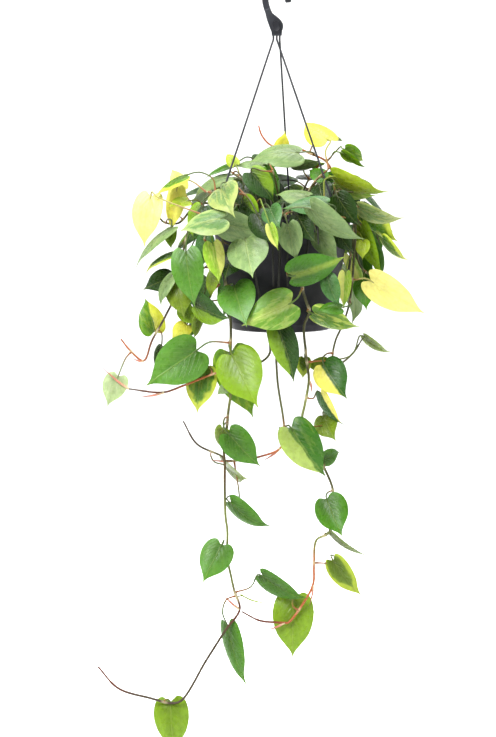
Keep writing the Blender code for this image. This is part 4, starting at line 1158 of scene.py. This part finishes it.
# tone: the middles of the leaves that have it, as (x, z) readings in the plane of the pot's axis
READ_TONES: dict[LeafTone, tuple[tuple[int, int], ...]] = {
    LeafTone.CREAM: ((-154, -278), (145, -370)),
    LeafTone.BUTTER: ((-122, -265), (-119, -228)),
    LeafTone.LIMEEDGE: ((-127, -237), (124, -286), (144, -314), (-140, -329), (-92, -482)),
    LeafTone.LIME: ((-117, -258), (-54, -204), (102, -235), (104, -314), (-22, -733)),
    LeafTone.PALE_PAINTED_REFLECTION: (
        (-147, -311), (-39, -287), (-33, -322), (-2, -202), (-32, -213), (-78, -237), (38, -210), (72, -282),
        (19, -304), (62, -309), (-132, -363), (-64, -482), (19, -248),
    ),
    LeafTone.YELLOW_EDGED_PAINTED_SHEEN: ((-88, -282),),
    LeafTone.YELLOW_STREAKED_PAINTED_REFLECTION: ((-59, -255), (126, -270)),
    LeafTone.DARK: (
        (-40, -260), (92, -256), (-56, -334), (-142, -354), (-142, -442), (8, -534), (118, -346), (19, -256),
        (-14, -288), (57, -251), (86, -267), (36, -288), (82, -301),
    ),
    LeafTone.DARKLIME: ((-16, -238), (-28, -266), (-78, -388), (12, -438), (-94, -281)),
    LeafTone.GREEN: (
        (-2, -234), (-68, -220), (48, -222), (69, -225), (66, -560), (107, -368), (-39, -553), (-32, -632),
        (10, -719), (70, -634), (-48, -800), (64, -384),
    ),
    LeafTone.BLUEGREEN: ((-2, -275), (35, -261), (-101, -408), (69, -364), (-89, -311)),
    LeafTone.YELLOW: ((48, -170), (8, -186), (-116, -412)),
    LeafTone.TOP_PAINTED_REFLECTION: ((74, -180), (-196, -482)),
    LeafTone.LIMEGREEN: ((94, -200), (94, -206), (-42, -474)),
    LeafTone.LIMEPALE: ((95, -243),),
    LeafTone.GREENRIB: ((50, -334),),
    LeafTone.MOSS: ((114, -314), (-104, -393), (-126, -300), (-38, -470), (20, -766), (-124, -886)),
    LeafTone.SHEEN: ((-103, -348), (-44, -380), (-126, -456), (-76, -690)),
    LeafTone.LIMEYELLOW: ((-72, -329), (82, -362), (-2, -298)),
    LeafTone.OLIVE: (
        (-115, -372), (48, -450), (64, -527), (-66, -540), (-49, -580), (90, -668), (122, -428), (-95, -408),
        (-76, -355),
    ),
    LeafTone.HALFYELLOW: ((-151, -392),),
    LeafTone.BRIGHTRIB: ((-10, -390),),
    LeafTone.OLIVELIME: ((33, -456), (85, -708)),
    LeafTone.DARKYELLOW: ((70, -470), (66, -505)),
    LeafTone.FOLDED_PAINTED_LIT_HALF: ((38, -556),),
    LeafTone.STREAKED: ((72, -399),),
}
# the tones of leaves that the photographed side hides, taken in turn
HIDDEN_TONES = (
    LeafTone.GREEN, LeafTone.PALE_PAINTED_REFLECTION, LeafTone.DARK, LeafTone.LIMEEDGE, LeafTone.GREEN,
    LeafTone.GLOSSGREEN, LeafTone.LIMEYELLOW, LeafTone.GREEN, LeafTone.DARKLIME, LeafTone.YELLOW_STREAKED_PAINTED_REFLECTION,
)

STEM_OLIVE = srgb(84, 84, 44)
STEM_BROWN = srgb(74, 58, 40)
STEM_RED = srgb(112, 56, 38)
STEM_ORANGE = srgb(206, 112, 62)
STEM_GREEN = srgb(132, 142, 74)
STEM_SHADED = srgb(26, 28, 18)
NODE_CREAM = srgb(228, 214, 168)
SHEATH_PINK = srgb(226, 146, 122)

# a stem's colour: the (x, z) readings where it shows
READ_STEMS: dict[Colour, tuple[tuple[int, int], ...]] = {
    STEM_ORANGE: (
        (45, -715), (36, -735), (26, -750), (14, -760), (11, -550), (-6, -556), (-90, -478), (-110, -484),
        (-170, -436), (-157, -446), (58, -690), (20, -188), (-10, -176), (-24, -168), (45, -196),
    ),
    STEM_RED: (
        (0, -761), (-15, -756), (-30, -750), (-42, -746), (-25, -562), (-45, -567), (-130, -488),
        (-150, -486), (-211, -818), (-190, -833),
    ),
    STEM_BROWN: (
        (-95, -545), (-108, -524), (-170, -478), (-151, -434), (-133, -404), (-170, -842), (-133, -854),
        (-110, -820), (-73, -794), (-50, -740),
    ),
    STEM_GREEN: ((53, -662), (-52, -700), (-58, -640), (-40, -480), (35, -500), (40, -560)),
    STEM_OLIVE: ((-60, -560), (60, -600)),
    STEM_SHADED: (
        (-28, -300), (-26, -340), (-6, -300), (-4, -330), (-4, -360), (8, -300), (6, -330), (4, -360),
        (38, -300), (36, -330), (62, -300), (62, -330), (14, -270),
    ),
}

# stem, then the root and tip of a sheath as (x, depth, z), x and z being readings
SHEATHS = (
    ("vine_left_long", (-44, -56, -745), (-66, -56, -725)),
    ("vine_right_long", (10, -44, -761), (-14, -47, -771)),
    ("vine_right_long", (45, -44, -716), (41, -42, -741)),
    ("vine_middle", (-50, -53, -567), (-80, -42, -566)),
    ("vine_middle", (4, -50, -551), (-18, -47, -567)),
    ("vine_left_reaching", (-134, -53, -486), (-164, -50, -492)),
    ("vine_far_left", (-159, -37, -447), (-171, -35, -445)),
    ("vine_left_reaching", (-177, -50, -480), (-208, -47, -455)),
    ("vine_right_long", (40, -57, -470), (44, -54, -486)),
)


@dataclass(frozen=True)
class Sight:
    """Where the viewer stands, for turning a place on the plant into a reading off the picture."""

    eye: Place = (-33.6, -2585.8, -178.3)
    centre: tuple[float, float] = (-33.6, -456.0)
    distance: float = 2600.0
    pitch: float = math.radians(6.0)

    def reading(self, point: Vector) -> tuple[float, float]:
        """Where a point appears, in the plane of the pot's axis.

        Args:
            point: The point.

        Returns:
            The reading as (x, z).
        """
        sight = point - Vector(self.eye)
        ahead = sight.y * math.cos(self.pitch) - sight.z * math.sin(self.pitch)
        down = -sight.y * math.sin(self.pitch) - sight.z * math.cos(self.pitch)
        scale = self.distance / ahead
        return (self.centre[0] + scale * sight.x, self.centre[1] - scale * down)

    def place(self, x: float, depth: float, z: float) -> Vector:
        """Carries a reading along the line of sight to a depth.

        Args:
            x: The reading across.
            depth: How far away from the viewer, from the pot's axis.
            z: The reading up.

        Returns:
            The place on the plant.
        """
        right = (x - self.centre[0]) / self.distance
        down = (self.centre[1] - z) / self.distance
        slope, level = math.sin(self.pitch), math.cos(self.pitch)
        ray = Vector((right, level - down * slope, -slope - down * level))
        eye = Vector(self.eye)
        return eye + ray * ((depth - eye.y) / ray.y)


UNDER_SKIN, STEM_SKIN = 1, 2


@dataclass
class LeafyStem:
    """One stem with its stalks, sheaths and blades, grown over the plain solid of the same name.

    The skins are those of a leaf's upper side, its underside and the stem.
    """

    form: StemForm
    skins: list[Material]
    sight: Sight
    rays: int = 22
    rings: int = 10
    thickness: float = 0.5
    midrib: float = 0.45
    groove: float = 0.2
    pillow: float = 0.36
    pillow_pitch: float = 38.0
    drip: float = 2.4
    stem_sides: int = 8
    stem_growth: float = 1.12
    node_swell: float = 0.26
    stalk_sides: int = 7
    stalk_radius: float = 1.36
    sheath_radius: float = 1.55
    read_reach: float = 4.5
    read_spread: float = 260.0
    read_strength: float = 6.0
    olive_share: float = 0.35

    def __post_init__(self) -> None:
        """Lays the stem's fine line."""
        self.line = curve_through(self.form.line, 3.5)

    def paint(self, obj: Piece, layers: dict[str, list[tuple[float, ...]]]) -> None:
        """Writes painted colours on a mesh, and zeros in the layers that it doesn't use.

        Args:
            obj: The mesh object.
            layers: For each layer its four numbers by point.
        """
        mesh = obj.data
        corners = [loop.vertex_index for loop in mesh.loops]
        blank = [(0.0, 0.0, 0.0, 0.0)] * len(mesh.vertices)
        for name in ("field", "patch", "marks", "place"):
            values = layers.get(name, blank)
            layer = mesh.attributes.new(name, "FLOAT_COLOR", "CORNER")
            layer.data.foreach_set("color", [number for corner in corners for number in values[corner]])

    def painted_tube(
        self, name: str, line: list[Vector], radii: list[float], colours: list[Colour], sides: int,
    ) -> Piece:
        """Makes a tube with the stem's skin.

        Args:
            name: The piece's name.
            line: The points of its line.
            radii: Its radius at each point.
            colours: Its colour at each point.
            sides: How many sides it has.

        Returns:
            The tube.
        """
        obj = mesh_piece(name, tube(line, radii, sides), *self.skins)
        self.paint(obj, {"field": [(*colour, 1.0) for colour in colours for _ in range(sides)]})
        for polygon in obj.data.polygons:
            polygon.material_index = STEM_SKIN
        return obj

    def edge(self) -> list[tuple[float, float]]:
        """The blade's edge from the notch round one side to the drip tip and back round the other.

        Returns:
            The places as (share along, share across), closer together towards the tip.
        """
        knots = [(-0.015, 0.10), *OUTLINE[1:-1], (0.93, 0.11), (1.0, 0.035), (1.06, 0.0)]
        fine = curve_through([Vector((s, h, 0.0)) for s, h in knots], 0.02)
        lengths = [0.0]
        for low, high in zip(fine, fine[1:]):
            lengths.append(lengths[-1] + (high - low).length)
        right = []
        for k in range(self.rays + 1):
            share = k / self.rays
            want = min(lengths[-1], lengths[-1] * (share + 0.06 * math.sin(math.pi * share) * share))
            i = max(1, next((i for i, length in enumerate(lengths) if length >= want - 1e-9), len(fine) - 1))
            at = fine[i - 1].lerp(fine[i], (want - lengths[i - 1]) / max(lengths[i] - lengths[i - 1], 1e-9))
            right.append((at.x, at.y))
        return right + [(s, -h) for s, h in reversed(right[:-1])]

    def recipe(self, blade: Blade) -> ToneRecipe:
        """Picks the tone read nearest to a blade, or one of the hidden leaves' tones where none was read.

        Args:
            blade: The blade.

        Returns:
            The tone's recipe.
        """
        x, z = self.sight.reading((blade.notch + blade.tip) / 2)
        reaches = {
            tone: min(math.hypot(read_x - x, read_z - z) for read_x, read_z in places)
            for tone, places in READ_TONES.items()
        }
        tone = min(reaches, key=reaches.get)
        if reaches[tone] < self.read_reach:
            return tone.value
        turn = int(abs(blade.notch.x * 3 + blade.notch.y * 5 + blade.notch.z * 7))
        return HIDDEN_TONES[turn % len(HIDDEN_TONES)].value

    def blade_faces(self, count: int) -> list[Face]:
        """Joins a blade's two sides: a fan and rings from the notch, and hems along the notch and the edge.

        Args:
            count: How many points go round the edge.

        Returns:
            The faces, the underside's points being numbered after the upper side's.
        """
        under = 1 + self.rings * count
        last = under - count
        upper: list[Face] = [(0, 1 + k, 2 + k) for k in range(count - 1)]
        for a in (row + k for row in range(1, last, count) for k in range(count - 1)):
            upper.append((a, a + count, a + count + 1, a + 1))
        faces = upper + [tuple(point + under for point in (face[0], *reversed(face[1:]))) for face in upper]
        sides = ([0, *range(1, under, count)], [0, *range(count, under, count)], range(last, under))
        return faces + [(a, b, under + b, under + a) for hem in sides for a, b in zip(hem, hem[1:])]

    def blade_piece(self, blade: Blade) -> Piece:
        """Makes one finely waved blade, thicker along its midrib, and paints it.

        Args:
            blade: The leaf as read off the plain solid.

        Returns:
            The blade.
        """
        draw = random.Random(round(blade.notch.x * 31 + blade.notch.y * 17 + blade.notch.z * 7))
        seed = draw.random()
        wave = draw.uniform(0.25, 0.6) * min(1.0, blade.width / 50)
        beats = draw.choice((2.0, 2.5, 3.0))
        curl = draw.uniform(-0.2, 1.2)
        fold = draw.uniform(0.7, 1.5) * min(1.0, blade.width / 46)
        edge = self.edge()
        upper, under = [blade.notch], [blade.notch]
        places = [(0.0, 0.0, seed, 0.0)]
        for ring in range(1, self.rings + 1):
            share = (ring / self.rings) ** 0.9
            for k, (s_edge, h_edge) in enumerate(edge):
                s, h = s_edge * share, h_edge * share
                out = abs(h) * blade.width / 2
                ripple = wave * share ** 3 * math.sin(ROUND * beats * k / (len(edge) - 1) + seed * 6)
                groove = -fold * math.exp(-(h / self.groove) ** 2) * (1 - 0.7 * smooth(s, 0.2, 1.0))
                swell = math.cos((s - 0.45 * abs(h)) * self.pillow_pitch)
                pillow = self.pillow * math.sin(math.pi * share) * swell
                drip = -curl * smooth(s, 0.78, 1.06) * self.drip
                droop = -fold * 0.8 * smooth(share, 0.72, 1.0) * smooth(abs(h), 0.3, 1.0)
                middle = blade.surface(s, h) + blade.face * (ripple + groove + pillow + drip + droop)
                rib = self.midrib * math.exp(-(out / 1.1) ** 2) * (1 - 0.85 * max(0.0, s))
                skin = self.thickness / 2 * (1 - 0.45 * share ** 4)
                upper.append(middle + blade.face * skin)
                under.append(middle - blade.face * (skin + rib))
                places.append((s, h, seed, share))
        obj = mesh_piece("blade", (upper + under, self.blade_faces(len(edge))), *self.skins)
        recipe = self.recipe(blade)
        light = draw.uniform(0.90, 1.08)
        ground = (*(value * light for value in recipe.ground), 1.0)
        # the patch's alpha carries how much painted shade round the notch the leaf takes
        patch = (*(min(1.0, value * light) for value in recipe.patch), recipe.heart)
        marks = (recipe.edge, 0.5 + 0.5 * recipe.half * draw.choice((-1, 1)), recipe.streak, recipe.rib)
        total = 2 * len(places)
        self.paint(obj, {
            "field": [ground] * total,
            "patch": [patch] * total,
            "marks": [marks] * total,
            "place": places * 2,
        })
        for polygon in obj.data.polygons:
            if min(polygon.vertices) >= len(upper):
                polygon.material_index = UNDER_SKIN
        return obj

    def stalk_piece(self, blade: Blade) -> Piece:
        """Makes a leaf's stalk from the stem to the underside of the blade.

        Args:
            blade: The leaf.

        Returns:
            The stalk.
        """
        root = nearest_on(self.line, blade.stalk[-1])
        ahead = blade.surface(0.07, 0.0) - blade.face * (self.thickness / 2 + 0.35)
        knots = [root, *reversed(blade.stalk[1:]), blade.notch - blade.face * 0.2, ahead]
        knots = [knot for i, knot in enumerate(knots) if i == 0 or (knot - knots[i - 1]).length > 0.8]
        fine = curve_through(knots, 4.0)
        thick = self.stalk_radius * (0.72 + 0.28 * min(1.0, blade.width / 50))
        shares = [i / (len(fine) - 1) for i in range(len(fine))]
        radii = [thick * (1.28 - 0.5 * smooth(s, 0.0, 0.12) + 0.08 * smooth(s, 0.8, 0.95)) for s in shares]
        radii[-1] = 0.4
        foot = blend(STEM_ORANGE, STEM_OLIVE, 0.45)
        head = blend(self.recipe(blade).ground, STEM_OLIVE, 0.55)
        colours = [blend(foot, head, smooth(share, 0.0, 0.5)) for share in shares]
        return self.painted_tube("stalk", fine, radii, colours, self.stalk_sides)

    def sheath_piece(self, root: Vector, tip: Vector) -> Piece:
        """Makes one papery sheath: a curved spike, reddish at its point.

        Args:
            root: Where it grows, near the stem.
            tip: Its point.

        Returns:
            The sheath.
        """
        start = nearest_on(self.line, root)
        end = tip + start - root
        bow = (end - start).cross(Vector((0.0, 1.0, 0.0))).normalized() * 1.2
        fine = curve_through([start, start.lerp(end, 0.35) + bow, start.lerp(end, 0.7) + bow * 0.6, end], 2.5)
        radii, colours = [], []
        for i in range(len(fine)):
            share = i / (len(fine) - 1)
            bulge = (1 - share) ** 0.75 * (1 + 0.25 * math.sin(math.pi * share))
            radii.append(max(0.3, self.sheath_radius * bulge))
            colours.append(blend(blend(NODE_CREAM, SHEATH_PINK, share * 3), STEM_RED, share * 1.5 - 0.6))
        return self.painted_tube("sheath", fine, radii, colours, self.stalk_sides)

    def stem_colour(self, point: Vector) -> Colour:
        """The stem's colour at a place, from the readings near it.

        Args:
            point: The place.

        Returns:
            The colour.
        """
        x, z = self.sight.reading(point)
        weights = [(self.olive_share, STEM_OLIVE)]
        for colour, places in READ_STEMS.items():
            for read_x, read_z in places:
                near = math.exp(-((x - read_x) ** 2 + (z - read_z) ** 2) / self.read_spread)
                weights.append((self.read_strength * near, colour))
        total = sum(weight for weight, _ in weights)
        return tuple(sum(weight * colour[i] for weight, colour in weights) / total for i in range(3))

    def build(self) -> list[Piece]:
        """Makes the stem with all that grows on it, as one piece.

        Returns:
            The pieces made.
        """
        joints = [nearest_on(self.line, blade.stalk[-1]) for blade in self.form.blades]
        radii, colours = [], []
        for i, at in enumerate(self.line):
            share = i / (len(self.line) - 1)
            near = min(((at - joint).length for joint in joints), default=math.inf)
            swell = math.exp(-(near / 2.6) ** 2)
            radius = (self.form.radius - 0.35 * share) * (self.stem_growth + self.node_swell * swell)
            radii.append(radius * (0.75 if share > 0.97 else 1.0))
            colours.append(blend(self.stem_colour(at), NODE_CREAM, 0.75 * swell))
        stem = self.painted_tube(f"{self.form.name}_leafy", self.line, radii, colours, self.stem_sides)
        others = [make(blade) for blade in self.form.blades for make in (self.blade_piece, self.stalk_piece)]
        for owner, root, tip in SHEATHS:
            if owner == self.form.name:
                others.append(self.sheath_piece(self.sight.place(*root), self.sight.place(*tip)))
        combine(stem, others, "UNION", "MANIFOLD")
        keep_edges_sharp(stem, 62)
        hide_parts(self.form.name)
        return [stem]


@dataclass
class Studio:
    """The pale round floor and wall, the soft lights and the camera."""

    paint: Material
    sight: Sight
    floor_z: float = -1180.0
    wall_radius: float = 6400.0
    bend: float = 1200.0
    height: float = 6000.0
    sides: int = 64
    bend_steps: int = 12
    lens: float = 105.8
    film: float = 36.0
    reach: float = 40.0
    air_light: float = 0.14

    def backdrop(self) -> None:
        """Makes the round floor that sweeps up into a wall on every side."""
        flat, floor = self.wall_radius - self.bend, self.floor_z
        section = [(flat / 2, floor), (flat, floor)]
        for turn in (math.pi / 2 * step / self.bend_steps for step in range(1, self.bend_steps + 1)):
            section.append((flat + self.bend * math.sin(turn), floor + self.bend * (1 - math.cos(turn))))
        section.append((self.wall_radius, floor + self.height))
        rings = [circle(radius, z, self.sides, 0.0) for radius, z in section]
        mesh_piece("backdrop", loft(rings, Vector((0.0, 0.0, floor)), False), self.paint)

    def light(self, name: str, at: Place, size: float, power: float, toward: Place = (0.0, 0.0, -0.4)) -> None:
        """Adds a large soft lamp that no camera sees.

        Args:
            name: The lamp's name.
            at: Where it stands, in metres.
            size: The side of its square, in metres.
            power: Its power in watts.
            toward: What it faces, in metres: the middle of the plant if nothing else is said.
        """
        lamp = bpy.data.lights.new(name, "AREA")
        lamp.size = size
        lamp.energy = power
        obj = bpy.data.objects.new(name, lamp)
        obj.location = at
        obj.rotation_euler = (Vector(toward) - Vector(at)).to_track_quat("-Z", "Y").to_euler()
        obj.visible_camera = False
        bpy.context.scene.collection.objects.link(obj)

    def build(self) -> None:
        """Sets up the whole studio."""
        self.backdrop()
        self.light("key_softbox", (-1.3, -1.9, 1.5), 1.2, 86)
        self.light("fill_softbox", (1.9, -2.2, 0.1), 2.0, 14)
        self.light("top_softbox", (0.2, 0.1, 1.6), 1.2, 46)
        self.light("wall_softbox", (0.0, 2.0, 1.4), 3.0, 260, (0.0, 4.6, -1.2))
        world = bpy.data.worlds.new("studio_air")
        world.use_nodes = True
        air = world.node_tree.nodes["Background"].inputs
        air[0].default_value = (1.0, 1.0, 1.0, 1.0)
        air[1].default_value = self.air_light
        lens = bpy.data.cameras.new("portrait_camera")
        lens.lens = self.lens
        lens.sensor_width = self.film
        lens.clip_end = self.reach
        camera = bpy.data.objects.new("portrait_camera", lens)
        camera.location = Vector(self.sight.eye) * MM
        camera.rotation_euler = (math.pi / 2 - self.sight.pitch, 0.0, 0.0)
        scene = bpy.context.scene
        scene.collection.objects.link(camera)
        scene.camera = camera
        scene.world = world
        scene.view_settings.view_transform = "Standard"


def main() -> None:
    """Builds every piece in order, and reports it."""
    logging.basicConfig(level=logging.INFO, format="%(message)s")
    pot_plastic = MouldedPlastic("pot_plastic", srgb(17, 16, 26), srgb(44, 44, 58), 0.5, 0.4).material()
    hook_plastic = MouldedPlastic("hanger_plastic", srgb(30, 31, 36), srgb(74, 76, 84), 0.36, 0.35).material()
    peat = PeatMix().material()
    skins = [
        LeafFinish(BladeSide.UPPER, 0.31, 0.8, 0.28, 0.6).material(),
        LeafFinish(BladeSide.UNDER, 0.55, 0.9, 0.4, 0.85).material(),
        StemFinish().material(),
    ]
    pieces = Pot(pot_plastic).build() + PottingMix(peat).build() + Hanger(hook_plastic).build()
    sight = Sight()
    for name, node in sorted(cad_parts.items()):
        if name in ("pot", "soil") or name.startswith("hanger"):
            continue
        form = FoliageReader(node).read()
        pieces += LeafyStem(form, skins, sight).build()
        LOG.info("%s: %d leaves", name, len(form.blades))
    for piece in pieces:
        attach(piece, "root")
        LOG.info("%s: %d faces", piece.name, len(piece.data.polygons))
    Studio(StudioPaint().material(), sight).build()


if __name__ == "__main__":
    main()
